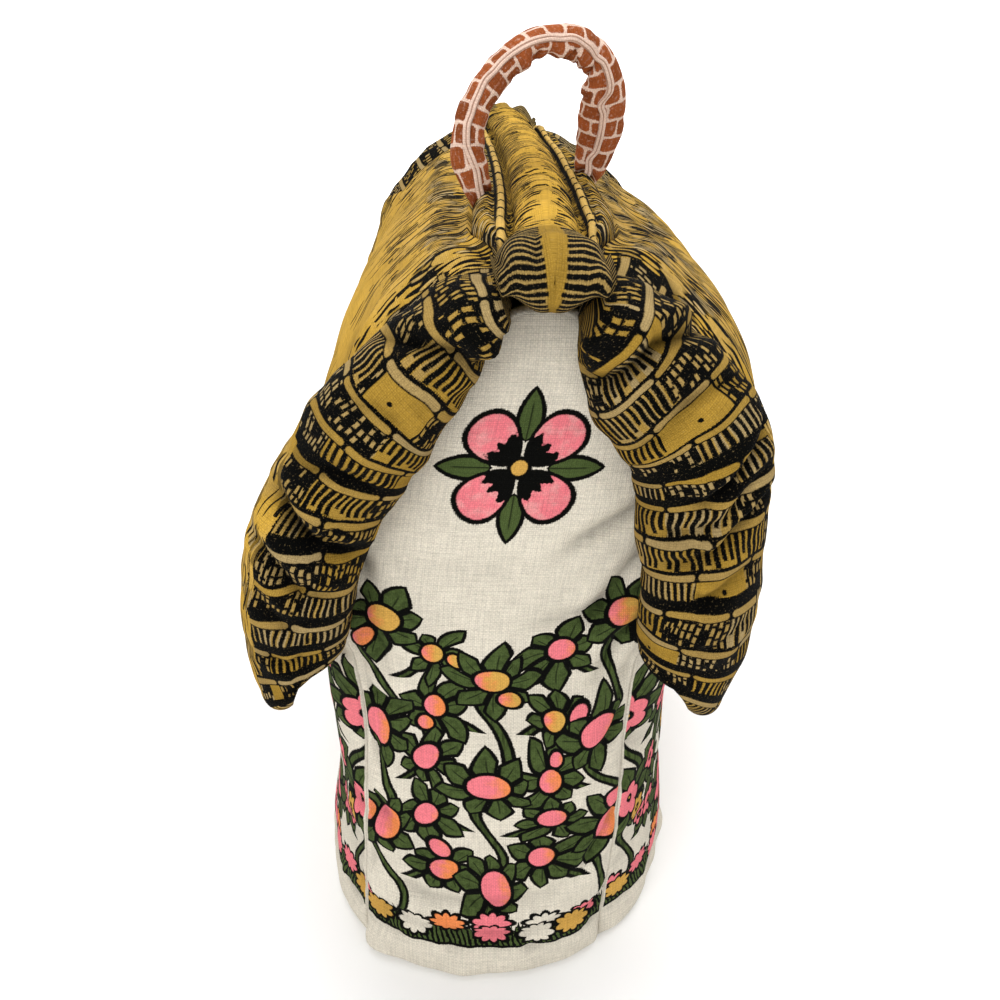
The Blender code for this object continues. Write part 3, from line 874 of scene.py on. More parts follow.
def ripe_fruit(dye, under, p, q, luck, size, blossom, mask):
    """A fruit that turns from pink to orange, or a blossom with five petals."""
    colours = dye.colours
    far = (p * p + q * q * (0.8 + 0.4 * luck)).root()
    sun = dye.lumps(4, 4, 2, 4) * 0.9 + p * 0.09 + (luck - 0.5) * 0.9
    skin = dye.mix(sun.rise(0.2, 0.75), colours.pink, colours.orange)
    skin = dye.mix((luck > 0.7) * sun.rise(0.45, 0.95), skin, colours.ochre)
    if not blossom:
        return dye.lay(under, far - size, skin, mask)
    petals = abs(((dye.turn(q, p) + luck * TAU) * 2.5).cos()) ** 0.7 * 2.4
    under = dye.lay(under, far - (size - 1.2) - petals,
                    dye.mix(luck > 0.7, colours.pink, colours.ochre), mask)
    return dye.lay(under, far - 1.2, colours.ochre, mask)


def cluster(dye, under, cell, seed, count, reach, half, size, blossom, mask):
    """Leaves round a fruit, and often a smaller fruit beside it."""
    p, q, column, row, _ = cell
    luck, other = dye.chance(column, row, seed), dye.chance(column, row, seed + 0.5)
    p, q = p - (luck - 0.5) * 3, q - (other - 0.5) * 3
    under = leaves_round(dye, under, p, q, luck, count, 2.5, reach, half, mask)
    x, y = (other * TAU).cos() * size, (other * TAU).sin() * size
    under = ripe_fruit(dye, under, p - x * 1.5, q - y * 1.4, other, 0.72 * size, blossom,
                       mask * (luck > 0.35))
    return ripe_fruit(dye, under, p + x * 0.3, q + y * 0.3, luck, size, blossom, mask)


def wall_print(name, colours, sizes, wide, bloom):
    """Cream linen with trailing stems, leaves and fruit over a border of blossoms in grass.

    Stems and clusters stay within a width on each side of the middle.
    """
    dye = Dye(name, colours, sizes)
    a, b = dye.a, dye.b
    patch = dye.lumps(26, 26, 3, 2)
    linen = dye.mix(patch.rise(0.3, 0.7), colours.linen, faded(colours.linen, 0.93))
    width, height = sizes.sprig_width, sizes.sprig_height
    fork = 0.3 * height
    p = a + (dye.lumps(40, 40, 1, 21) - 0.5) * 20
    q = b + (dye.lumps(40, 40, 1, 27) - 0.5) * 18
    big = half_drop(p, q, width, height)
    sides = [half_drop(p + hand * 0.5 * width, q + fork, width, height) for hand in (1, -1)]
    tall, *side_tall = (sizes.sprig_top + (dye.chance(cell[2], 7, 3) - 0.5) * 30
                        for cell in (big, *sides))
    kept = abs(big[2] * width) < wide
    stems = dye.mix(dye.lumps(1.4, 9, 1, 8).rise(0.45, 0.6), colours.leaf, faded(colours.leaf, 0.5))
    colour = linen
    for hand in (1, -1):
        twig = abs(big[1] + fork + 0.7 * (0.5 * width + hand * big[0])) * 0.8 - 1.2
        shown = (big[4] > SPRIG_LOW + fork) * (big[4] < tall) * (hand * big[0] < 3) * kept
        shown = shown * (abs((big[2] - 0.5 * hand) * width) < wide)
        colour = dye.lay(colour, twig, stems, shown)
    vine = abs(big[0] - (big[1] * (TAU / height)).sin() * 4) - 1.6
    grown = (big[1] < 0) * (big[4] < tall) + (big[1] > 0) * (big[4] + height < tall)
    colour = dye.lay(colour, vine, stems, (b > GRASS_TOP) * grown * kept)
    for cell, limit, hand, reach in zip(sides, side_tall, (1, -1), (15, 12.5)):
        shown = (cell[4] > SPRIG_LOW + fork) * (cell[4] < limit)
        shown = shown * (abs((cell[2] - 0.5 * hand) * width) < wide)
        colour = cluster(dye, colour, cell, 4 - hand, 7, reach, 0.28 * reach, 4.8, not bloom, shown)
    shown = (big[4] > SPRIG_LOW) * (big[4] < tall) * kept
    colour = cluster(dye, colour, big, 1, 8, 16.8, 4.5, 6.2, not bloom, shown)
    if bloom:
        colour = single_bloom(dye, colour, b - bloom)
    colour = border(dye, colour)
    margin = dye.attribute("edge") + dye.lumps(6, 6, 1, 31) * 1.4
    colour = dye.mix(margin.inside(MARGIN), colour, linen)
    # the last number is the strength of the painted shade in the folds
    return dye.finish(colour, 0.3, 0.17)


def single_bloom(dye, colour, q):
    """A bloom of four broad petals with dark hearts, and a leaf between each two."""
    colours, a = dye.colours, dye.a
    far, angle = (a * a + q * q).root(), dye.turn(q, a)
    for shift in (0, 0.5):
        turn = angle * (4 / TAU) + shift
        off = (turn - (turn + 0.5).floor()) * (TAU / 4)
        along, across = far * off.cos(), far * off.sin()
        if not shift:
            t = (along - 8) / 15.5
            edge = abs(across) - leaf_width(t) * 3.6 + (t - 1).most(-t).most(0) * 15.5
            vein = abs(across).inside(0.25) * t.inside(0.7, 0.1)
            colour = dye.lay(colour, edge, dye.mix(vein * 0.7, colours.leaf, colours.ink))
            continue
        x = (along - 11.6) / 9
        y = across / (6.9 + x * 1.9)
        heart = x + (off * 17).cos() * -0.1 + dye.cloud(a / 2.2, q / 2.2, 2, 6) * 0.5
        fill = dye.mix(dye.cloud(a / 5, q / 5, 2, 9).rise(0.4, 0.7) * 0.25, colours.pink, colours.linen)
        fill = dye.mix(heart.inside(0, 0.05), fill, colours.ink)
        colour = dye.lay(colour, ((x * x + y * y).root() - 1) * 7.2, fill)
    return dye.lay(colour, far - 3, colours.ochre)


def border(dye, colour):
    """Blossoms in dark grass above the plain hem."""
    a, b, colours = dye.a, dye.b, dye.colours
    spikes = dye.lumps(1.3, 9, 1, 9) * 15 + 15.5 + dye.cloud(a / 16, 3, 1, 2) * 3
    edge = 14.4 + dye.cloud(a / 7, 0, 1, 2) * 1.8
    blades = ((a + b * 0.3) * (TAU / 1.9) + dye.lumps(4, 4) * 9).sin()
    grass = dye.mix(blades.rise(-0.1, 0.3), colours.leaf, colours.ink)
    colour = dye.lay(colour, (edge - b).most(b - spikes), grass)
    for pitch, height, seed in ((17, 25, 3), (14.5, 20.4, 5)):
        count = (a / pitch + 0.5).floor()
        luck, other = dye.chance(count, seed, 8), dye.chance(count, seed, 9)
        p, q = a - count * pitch - (luck - 0.5) * 3, b - height - other * 2.5
        far = (p * p * 0.4 + q * q).root()
        scallop = abs((dye.turn(q * 1.3, p) * 4.5 + luck * 9).cos()) * 1.3 + 3.3 + other * 0.5
        flower = dye.mix(luck > 0.36, colours.pink, colours.ochre)
        flower = dye.mix(luck > 0.62, flower, colours.linen)
        flower = dye.mix(luck > 0.82, flower, colours.orange)
        colour = dye.lay(colour, far - scallop, flower, other < 0.86)
    return colour


# ---------------------------------------------------------------- prints of the roof and the loop

def pen_strokes(dye, under, ink, across, pitch, length, width, share, seed):
    """Tapered pen strokes in lanes along the cloth, over a colour, as many as the share says."""
    lanes = across / pitch
    lane = lanes.floor()
    pieces = dye.b / length + dye.chance(lane, seed, 1) * 9
    piece = pieces.floor()
    luck, size = dye.chance(lane, piece, seed), dye.chance(piece, lane, seed + 4)
    t = (pieces - piece) * 2 - 1
    off = abs(lanes - lane - 0.5 + (size - 0.5) * 0.3) * pitch
    edge = off - (1 - t * t).root() * (0.55 + 0.75 * size) * width + dye.ragged * 0.5
    return dye.mix(edge.inside(0, 0.25) * (luck < share), under, ink)


def thatch_print(name, colours, sizes, seed, close):
    """Ochre cloth printed with courses of straw strokes; with no seed, strokes across the ridge."""
    dye = Dye(name, colours, sizes)
    a, b = dye.a, dye.b
    patch = dye.lumps(22, 22, 3, 6)
    ochre = dye.mix(patch.rise(0.35, 0.7), colours.thatch, faded(colours.thatch, 0.74))
    colour = straw_courses(dye, ochre, sizes.course, seed, close) if seed else ridge_strokes(dye, ochre)
    fleck = (dye.lumps(0.6, 0.6, 1, 11) - 0.5).rise(0.1, 0.3)
    colour = dye.mix(fleck * 0.2, colour, colours.straw)
    # the last number is the strength of the painted shade in the folds
    return dye.finish(colour, 0.35, 0.22)


def streaks(dye, ochre, lane, seed, close):
    """Streaks down a slope, crowded near the ridge and beside the rolls, in combs lower down."""
    a, b, ink, straw = dye.a, dye.b, dye.colours.ink, dye.colours.straw
    out = abs(a)
    crowd = (out.rise(90, 116) * 0.7 + (1 - b.rise(30, 78 + 60 * close)) * 0.8).least(0.9)
    clump = dye.lumps(15, 15, 2, 15 + seed).rise(0.42, 0.58)
    comb = b / 19 + dye.lumps(14, 50, 2, 19 + seed) * 2.2
    comb = comb.lane()[1].rise(0.16, 0.3)
    low = (1 - close * 2) * b.rise(44, 80)
    share = crowd * (0.34 + 0.25 * clump + 0.4 * comb) + comb * clump * (0.4 - low * 0.2)
    share = share + close * 0.35 + 0.04
    field = dye.mix(crowd * (0.25 + 0.5 * close), ochre, dye.mix(clump, straw, ochre))
    field = pen_strokes(dye, field, ink, lane, 2.6, 16, 0.92 - low * 0.42, share, seed + 20)
    field = pen_strokes(dye, field, ink, lane + 0.9, 3.3, 10, 0.9 - low * 0.42, share * 0.75, seed + 30)
    pale = pen_strokes(dye, ink, dye.mix(clump, ochre, straw), lane, 2.2, 7, 0.68, 0.8, seed + 40)
    dark = crowd * (0.55 + close * 0.5) + comb * 0.3
    return dye.mix((0.66 - dark).inside(0, 0.2), field, pale)


def straw_courses(dye, ochre, course, seed, close):
    """Streaks down the slope, and on the verge rolls courses of cords, strokes and dark thickets."""
    a, b, ink, straw, ragged = dye.a, dye.b, dye.colours.ink, dye.colours.straw, dye.ragged
    out = abs(a)
    lane = a + dye.lumps(20, 15, 1, 3) * 5.5
    field = streaks(dye, ochre, lane, seed, close)
    down = b + (dye.lumps(26, 40, 1, 1 + seed) - 0.5) * 8 + 7.3 * seed
    number = (down / course).floor()
    d = down - number * course
    number = number + 31 * seed
    step = dye.chance(number, 4, 1)
    along = (a + step * 40) / CORD_LENGTH
    piece = along.floor()
    x = (along - piece - 0.5) * CORD_LENGTH
    kind, luck = dye.chance(piece, number, 4), dye.chance(piece, number, 6)
    h = d - COURSE_HEAD
    deep = course - COURSE_HEAD
    # straws with pale or golden ground between them
    stalk, off = (lane / STRAW_PITCH + step * 5).lane()
    size = dye.chance(stalk, number, 2)
    off = off * STRAW_PITCH + ragged
    stroke = (off - 0.64 - size * 0.28).most(h - (0.6 + 0.6 * size) * deep)
    ground = dye.mix(luck.rise(0.3, 0.6), ochre, straw)
    ground = dye.mix((dye.chance(stalk, number, 12) > 0.5) * 0.7, ground, ochre)
    body = dye.mix(stroke.inside(0), ground, ink)
    # plain lengths with a spot or two
    spot_x, spot_h = x - 2.5 + luck * 5, h - 4.6
    spots = (spot_x * spot_x + spot_h * spot_h).root() - 0.85 + ragged
    plain = dye.mix(spots.inside(0), ochre, ink)
    body = dye.mix((kind > 0.5) * (kind < 0.66), body, plain)
    # thickets: black with short pale glints
    (i, gx), (j, gy) = (lane / 2).lane(), (h / THICKET_PITCH + size).lane()
    glint = dye.chance(j, i, number)
    shape = (gx * 2 * 1.8).most(gy * THICKET_PITCH * 0.8) + ragged * 1.4
    thicket = dye.mix(shape.inside(1) * (glint > 0.36), ink, dye.mix(luck, straw, ochre))
    body = dye.mix((kind > 0.7).most((out - 150).inside(luck * -3) * (kind > 0.3)), body, thicket)
    # a dark foot to some courses
    foot = deep - (step > 0.5) * 3 - 0.5 + ragged * 2
    body = dye.mix((foot - h).inside(0), body, ink)
    # cords, broken now and then
    far = ((abs(x) - CORD_HALF).most(0) ** 2 + (d - 2) * (d - 2)).root() + ragged
    body = dye.mix((h + 0.4).inside(0), body, ink)
    body = dye.mix(far.inside(CORD_THICK), body, dye.mix(dye.chance(number, piece, 8), straw, ochre))
    starts = 97 + 38 * b.rise(38, 84) + (7 - close * 16) * b.rise(84, 108) + luck * 8
    shown = (out - starts + ragged * 3).inside(0) < 0.5
    # The courses on the verge rolls are darkened to 0.66, partly a deeper print with more ink and
    # partly painted shade on the rolls
    return dye.mix(shown, field, dye.shade(body, 0.66))


def ridge_strokes(dye, ochre):
    """Gold along the middle, strokes across its sides, and a broken pleat in each groove."""
    a, b, colours, ragged = dye.a, dye.b, dye.colours, dye.ragged
    side = abs(b)
    front = abs(a).rise(120, 124)
    stroke, off = (a / STRIPE_PITCH + dye.lumps(14, 9, 1, 2) * 0.25).lane()
    luck = dye.chance(stroke, (b > 0) * 1, 3)
    off = off * STRIPE_PITCH + ragged
    stripes = off.inside(0.84 - luck * 0.14) * side.rise(1.9 + luck * 0.9, 2.3 + luck * 0.9)
    ground = dye.mix(side.rise(2.2, 3.4) * 0.5, ochre, colours.straw)
    # Painted shade: the ground of the cap's rounded ends is darkened to 0.58 under the stripes
    knob = dye.mix(stripes, dye.shade(ground, 0.58), colours.ink)
    wander = a + dye.lumps(12, 8, 1, 2) * 5
    clump = dye.lumps(9, 14, 2, 24).rise(0.38, 0.6)
    share = side.rise(-3, 6) * (0.45 + 0.5 * clump)
    roll = dye.mix(side.rise(5, 10) * 0.4, ochre, faded(colours.thatch, 0.6))
    for pitch, length, seed in ((1.5, 9, 3), (2.1, 6, 8)):
        roll = pen_strokes(dye, roll, colours.ink, wander, pitch, length, 0.52, share, seed)
    some = 0.6 - (b > 0) * 0.15
    flank = pen_strokes(dye, colours.ink, ochre, wander + b * 0.7, 1.6, 5.5, 0.6, some, 13)
    flank = pen_strokes(dye, flank, colours.straw, wander + b * 0.5, 2.6, 4, 0.6, some - 0.1, 17)
    colour = dye.mix(side.inside(PLEAT - 1.6), flank, roll)
    pleat = abs(side - PLEAT) + ragged
    piece = a / 12 + (b > 0) * 0.4 + dye.cloud(a / 20, 0, 1, 4)
    broken = (piece - piece.floor()).inside(0.84, 0.03)
    colour = dye.mix(pleat.inside(2 * PLEAT_HALF), colour, colours.ink)
    colour = dye.mix(pleat.inside(PLEAT_HALF) * broken, colour, dye.mix(0.35, ochre, colours.straw))
    return dye.mix(front, colour, knob)


def brick_print(name, colours, sizes):
    """Rows of bricks across the loop, each with its own red, in pale mortar."""
    dye = Dye(name, colours, sizes)
    a, b = dye.a, dye.b
    wander = dye.lumps(6, 6, 1, 2) * 1.6
    row, q = ((a + wander) / BRICK_HEIGHT).lane()
    brick, p = ((b + wander) / BRICK_LENGTH + (row % 2) * 0.5).lane()
    luck = dye.chance(brick, row, 1)
    inner_p, inner_q = (p * BRICK_LENGTH - 2.55).most(0), (q * BRICK_HEIGHT - 1.45).most(0)
    edge = (inner_p * inner_p + inner_q * inner_q).root() - BRICK_CORNER + dye.ragged
    red = dye.mix(luck, colours.brick, faded(colours.brick, 0.6))
    red = dye.mix(dye.lumps(1.2, 1.2, 2, 3).rise(0.5, 0.8) * 0.35, red, colours.mortar)
    colour = dye.mix(edge.inside(0), colours.mortar, red)
    # the last number is the strength of the painted shade in the folds
    return dye.finish(colour, 0.3, 0.3)


def seam_cloth(name, colours, sizes):
    """The pale seam along the loop, with fine lines."""
    dye = Dye(name, colours, sizes)
    lines = ((dye.b + dye.cloud(dye.a / 8, 0, 1, 1) * 0.8) * (TAU / 1.15)).sin()
    colour = dye.mix(lines.rise(0.4, 0.9) * 0.55, colours.mortar, faded(colours.brick, 0.6))
    # the last number is the strength of the painted shade in the folds
    return dye.finish(colour, 0.25, 0.1)


# ---------------------------------------------------------------- folds of each piece

# Folds of the verge rolls: side, depth, width, lip, then length along the ridge and down the slope for
# each point. Lengths past the front seam run on over it to the inner side.
FOLDS = (
    # left roll, near end
    (-1, 3.2, 2.6, 0.6,
     ((-177, 27), (-167, 30), (-156.3, 32.8), (-149.5, 39.3), (-142, 45), (-134, 49))),
    (-1, 1.6, 2.4, 0.2, ((-168, 58), (-160, 57), (-152, 60), (-145, 66))),
    (-1, 1.9, 2.6, -0.3, ((-172, 84), (-163, 81), (-155, 82), (-147, 88))),
    (-1, 4.4, 2.9, 0.8,
     ((-178, 110), (-170, 108), (-162.5, 107), (-154.6, 103.3), (-146, 99), (-139, 97))),
    (-1, 3, 2.4, 0.5,
     ((-175, 126), (-168, 125), (-162.1, 124.7), (-155, 118.6), (-146.5, 113.7), (-139, 112))),
    (-1, 1.9, 2.6, 0.3, ((-170, 143), (-160.6, 138.2), (-154, 132), (-147, 126))),
    (-1, 1.4, 2.4, -0.2, ((-168, 158), (-160, 155), (-151, 150))),
    # right roll, near end
    (1, 4, 2.8, 0.7,
     ((-178, 27), (-170, 30), (-160, 33), (-151.5, 34.1), (-143, 40), (-133, 45), (-124, 47))),
    (1, 2.2, 2.6, 0.4, ((-176, 56), (-168, 55), (-158, 52), (-149, 55), (-140, 61))),
    (1, 3.4, 2.8, 0.8, ((-170, 80), (-165.4, 91.3), (-157.7, 86.5), (-144.4, 78.6), (-136, 74))),
    (1, 2.6, 2.2, 0.5, ((-174, 100), (-165.1, 101.1), (-158, 99), (-151.2, 91), (-144, 87))),
    (1, 3.2, 2.5, 0.7,
     ((-176, 112), (-168, 110), (-160.1, 109), (-153.9, 103.5), (-144, 98), (-137, 97))),
    (1, 1.9, 2.6, 0.3, ((-172, 128), (-163, 126), (-154, 121), (-146, 119))),
    (1, 1.5, 2.4, -0.2, ((-172, 145), (-162, 143), (-152, 139), (-146, 136))),
    # long soft folds of the slopes, from the valleys behind the rolls
    (-1, 1.9, 5, 0, ((-112, 58), (-98, 76), (-90, 100), (-92, 122))),
    (-1, 1.5, 5.5, 0, ((-60, 168), (-52, 146), (-34, 128), (-12, 120))),
    (-1, 1.8, 5, 0, ((112, 40), (96, 60), (86, 86))),
    (-1, 1.4, 5.5, 0, ((70, 168), (60, 140), (40, 122))),
    (1, 1.8, 5, 0, ((-112, 70), (-100, 92), (-96, 118))),
    (1, 1.5, 5.5, 0, ((-40, 168), (-30, 142), (-6, 126))),
    (1, 1.9, 5, 0, ((112, 54), (98, 74), (88, 104), (90, 126))),
    (1, 1.4, 5.5, 0, ((54, 168), (44, 144), (22, 130))),
    # far ends
    (-1, 3.4, 2.8, 0.6, ((176, 34), (165, 38), (155, 44), (144, 47), (134, 46))),
    (-1, 3, 2.6, 0.5, ((174, 78), (164, 82), (154, 86), (143, 84))),
    (-1, 3.6, 2.8, 0.7, ((176, 116), (166, 113), (156, 108), (145, 106), (138, 108))),
    (-1, 2, 2.4, -0.3, ((172, 142), (162, 140), (151, 135))),
    (1, 3.6, 2.8, 0.6, ((176, 30), (165, 33), (153, 40), (141, 46), (133, 47))),
    (1, 3, 2.6, 0.6, ((176, 68), (165, 71), (154, 77), (143, 79))),
    (1, 3.6, 2.8, 0.7, ((176, 104), (166, 101), (156, 96), (145, 92))),
    (1, 2.2, 2.4, 0.3, ((174, 132), (163, 130), (152, 125), (145, 124))),
)

# Folds of the near gable: depth, width, then length across and height of each point
GABLE_FOLDS = (
    (2.85, 3, ((50, 192), (38, 184), (27, 177), (17, 170))),
    (2.25, 2.8, ((52, 178), (42, 168), (34, 156), (29, 144))),
    (1.8, 3.4, ((52, 160), (38, 152), (24, 147), (10, 145))),
    (1.95, 3, ((-50, 158), (-42, 150), (-36, 138), (-34, 126))),
    (1.8, 3, ((-52, 118), (-38, 112), (-24, 110))),
    (1.8, 3, ((56, 112), (44, 104), (34, 92))),
    (1.65, 3.4, ((-44, 40), (-22, 34), (4, 35), (26, 40))),
    (1.95, 2.6, ((46, 64), (36, 54), (30, 42))),
    (1.5, 2.6, ((-52, 80), (-42, 70), (-36, 58))),
    (2.25, 2.6, ((50, 148), (40, 138), (33, 124))),
    (2.1, 2.8, ((-52, 176), (-42, 164), (-37, 152))),
    (1.65, 2.6, ((-40, 24), (-16, 20), (10, 21), (30, 27))),
    (1.8, 2.4, ((52, 34), (42, 27), (32, 24))),
    (1.5, 2.8, ((-52, 104), (-44, 92), (-40, 80))),
)

# Fuller or flatter places of the slopes: side, length along the ridge, down the slope, reaches, height
PUFFS = (
    (-1, -132, 140, 14, 24, -1.6), (1, -132, 78, 12, 12, 1.6),
    (-1, -150, 160, 26, 34, -3.6), (-1, -141, 90, 16, 12, -3.2), (-1, -110, 68, 13, 20, -2.4),
    (1, -140, 80, 18, 14, -1.4), (1, -146, 132, 18, 34, -3.4), (1, -150, 172, 20, 12, -2),
    (1, 24, 42, 60, 16, -5.4), (1, -136, 60, 16, 16, -1),
    (-1, -156, 18, 9, 9, 1.8), (-1, -158, 70, 9, 14, 1.4), (-1, -156, 92, 12, 7, 1.5),
    (1, -156, 18, 9, 9, 1.8), (1, -158, 68, 9, 10, 1.6), (1, -160, 84, 9, 6, 1.2),
    (1, -158, 140, 9, 12, 1.2),
    (-1, 158, 60, 10, 14, 1.6), (1, 158, 52, 10, 12, 1.6), (-1, 158, 128, 10, 14, 1.4),
    (1, 158, 116, 10, 12, 1.4), (-1, -8, 82, 46, 34, 3.6), (-1, -76, 88, 24, 24, -5.6),
    (1, 0, 92, 44, 26, 2.2),
    (-1, 70, 120, 30, 26, 1.3), (1, -80, 110, 30, 24, 1.6),
)


def slope_relief(side, u, v, depth, a, s):
    """Folds of a roof slope, in millimetres out of its plain shape."""
    y, t = lengthwise(u, FIELD)
    away = s - cap_half(y)
    front = np.abs(np.abs(a) - ROLL_EDGE)
    rolls = smooth(t, 0, 0.3)
    lift = 0.9 * mottle(a / 31 + 3, s / 27, 11 + side) + 0.35 * mottle(a / 12, s / 11, 15 + side)
    lift = lift + 0.8 * puckers(a, away, 8, 5, 21 + side)
    lift = lift + rolls * (0.9 * mottle(a / 26 + 9, s / 15, 17 + side)
                           + 0.4 * mottle(a / 9, s / 5, 19 + side)
                           + 1.1 * puckers(s, front, 7, 6, 25 + side))
    lift = lift + (1 - rolls) * (1.3 * puckers(a, TIP_S - 10 - s, 13, 12, 27 + side)
                                 + mottle(a / 46 + 5, s / 60 + 2, 23 + side))
    lift = lift + sum(height * np.exp(-((a - at_a) / reach_a) ** 2 - ((s - at_s) / reach_s) ** 2)
                      for puff_side, at_a, at_s, reach_a, reach_s, height in PUFFS if puff_side == side)
    lift = lift + sum(crease(a, s, points, deep, width, lip)
                      for fold_side, deep, width, lip, points in FOLDS if fold_side == side)
    shown = np.ones_like(a) if depth == 0 else smooth(t, UNDER_LIP - 0.1, UNDER_LIP + 0.1)
    thin = smooth(0.5 * (v + 1), EAVE_SHARE - 0.04, 0.98)
    lift = np.where(lift < 0, lift * (1 - 0.85 * thin), lift * (1 - 0.4 * thin))
    return lift * shown * smooth(away, 0, 4)


# Folds of the cap's rounded ends: depth, width, then length along the ridge and across for each point
CAP_FOLDS = (
    (1, 1.7, ((-130, -3.4), (-137, -3.9), (-147, -4.6), (-156, -4.6))),
    (0.8, 2.2, ((-148, 7), (-142, 11), (-134, 14))),
    (1, 2.2, ((-151, -9), (-144, -12), (-133, -14))),
    (1, 1.8, ((-118, 13), (-114, 6), (-115, -4), (-119, -11))),
    (0.9, 1.6, ((-98, 12), (-95, 2), (-98, -10))),
    (0.8, 1.6, ((-70, 12), (-73, 0), (-69, -11))),
    (0.9, 1.6, ((-38, 12), (-42, 3), (-40, -11))),
    (2, 1.8, ((128, 3), (138, 4.4), (148, 5.2), (156, 4.8))),
    (1.2, 2, ((150, -7), (142, -12), (132, -14))),
)


def cap_relief(u, v, depth, a, s):
    """Folds, grooves and pleats of the ridge cap."""
    if depth == 1:
        return np.zeros_like(a)
    side = np.abs(s)
    front = smooth(np.abs(a), 110, 124)
    lift = 0.5 * mottle(a / 14, s / 12, 31) + 0.34 * mottle(a / 3.4, s / 16, 32)
    lift = lift + front * 1.5 * np.exp(-((np.abs(a) - 141) / 11) ** 2) * np.exp(-((side - 9) / 5) ** 2)
    lift = lift + sum(crease(a, s, points, deep, width) for deep, width, points in CAP_FOLDS)
    pleat = np.exp(-((side - PLEAT) / 1.1) ** 4)
    groove = np.exp(-((side - PLEAT + 2.3) / 0.9) ** 2)
    groove = groove + 0.7 * np.exp(-((side - PLEAT - 2.3) / 0.9) ** 2)
    lift = lift + (1 - front) * (0.9 * pleat - 1.8 * groove)
    ribs = mottle(a / 4.2 + 0.3 * np.sin(0.4 * s), s / 30, 33)
    lift = lift + (1 - front) * 0.55 * ribs * smooth(PLEAT - side, 1, 6)
    return lift * smooth(1 - np.abs(v), 0, 0.12)


def gable_relief(end, u, v, depth, a, z):
    """Folds of a gable wall."""
    if depth == 1:
        return np.zeros_like(a)
    away = (1 - np.abs(u)) * corner(z, u)
    folds = [crease(-end * a, z, points, deep, width) for deep, width, points in GABLE_FOLDS]
    return wall_relief(a, z, away, 41 + end, (30, 36), 2.1, sum(folds))


def side_relief(side, u, v, depth, a, z):
    """Folds of a side wall."""
    if depth == 1:
        return np.zeros_like(a)
    away = (1 - np.abs(u)) * SIDE_HALF_LENGTH
    full = 3 * np.exp(-((np.abs(a) - 104) / 18) ** 2 - ((z - 112) / 26) ** 2)
    return wall_relief(a, z, away, 61 + side, (34, 30), 2, full)


def wall_relief(a, z, away, seed, lump, pull, more):
    """Lumps of a wall, its puckers along the side seams, and more folds of its own, over its hem.

    The hem is a soft uneven roll below the groove where its turned edge is caught.
    """
    groove = np.abs(z - HEM_GROOVE)
    hem = np.exp(-((z - 6.5) / 5) ** 2) * (0.7 + 1.5 * mottle(a / 10, z / 30, seed + 16))
    hem = hem + 0.9 * puckers(a, groove, 7, 5, seed + 14) - 0.9 * np.exp(-(groove / 1.7) ** 2)
    lift = 1.2 * mottle(a / lump[0], z / lump[1], seed) + 0.5 * mottle(a / 13, z / 11, seed + 4)
    lift = lift + pull * puckers(z, away, 9, 10, seed + 10) + hem + more
    return lift * smooth(away, 0, 4) * smooth(z, 0, 4)


# ---------------------------------------------------------------- loop

def lifted(place, skins, lift, lands):
    """Keep a point at least lift above the roof's skin, or exactly there where the loop lands."""
    inward = Vector((float(sway(place.y, place.z)), place.y, AXIS_HEIGHT)) - place
    inward.normalize()
    start = place - CAST_FROM * inward
    hits = [skin.ray_cast(start * MM, inward)[3] for skin in skins]
    reach = min(hit for hit in hits if hit) / MM
    if lands or reach - CAST_FROM < lift:
        return start + (reach - lift) * inward
    return place


def loop_frames(path):
    """The direction towards the seam and the one across the loop, at each point of its middle line."""
    ahead = np.gradient(path[:, :3], axis=0)
    ahead /= np.linalg.norm(ahead, axis=1, keepdims=True)
    out = np.array((0, -1, 0.35))
    out = out - np.sum(out * ahead, axis=1, keepdims=True) * ahead
    out /= np.linalg.norm(out, axis=1, keepdims=True)
    return out, np.cross(ahead, out)


def loop_point(path, out, across, angle, raised):
    """Points of the loop's skin, a given angle away from its seam."""
    half = path[:, 3:4]
    thick = np.minimum(half, LOOP_THICK)
    return (path[:, :3] + (thick + raised) * np.cos(angle) * out
            + (half + raised) * np.sin(angle) * across)


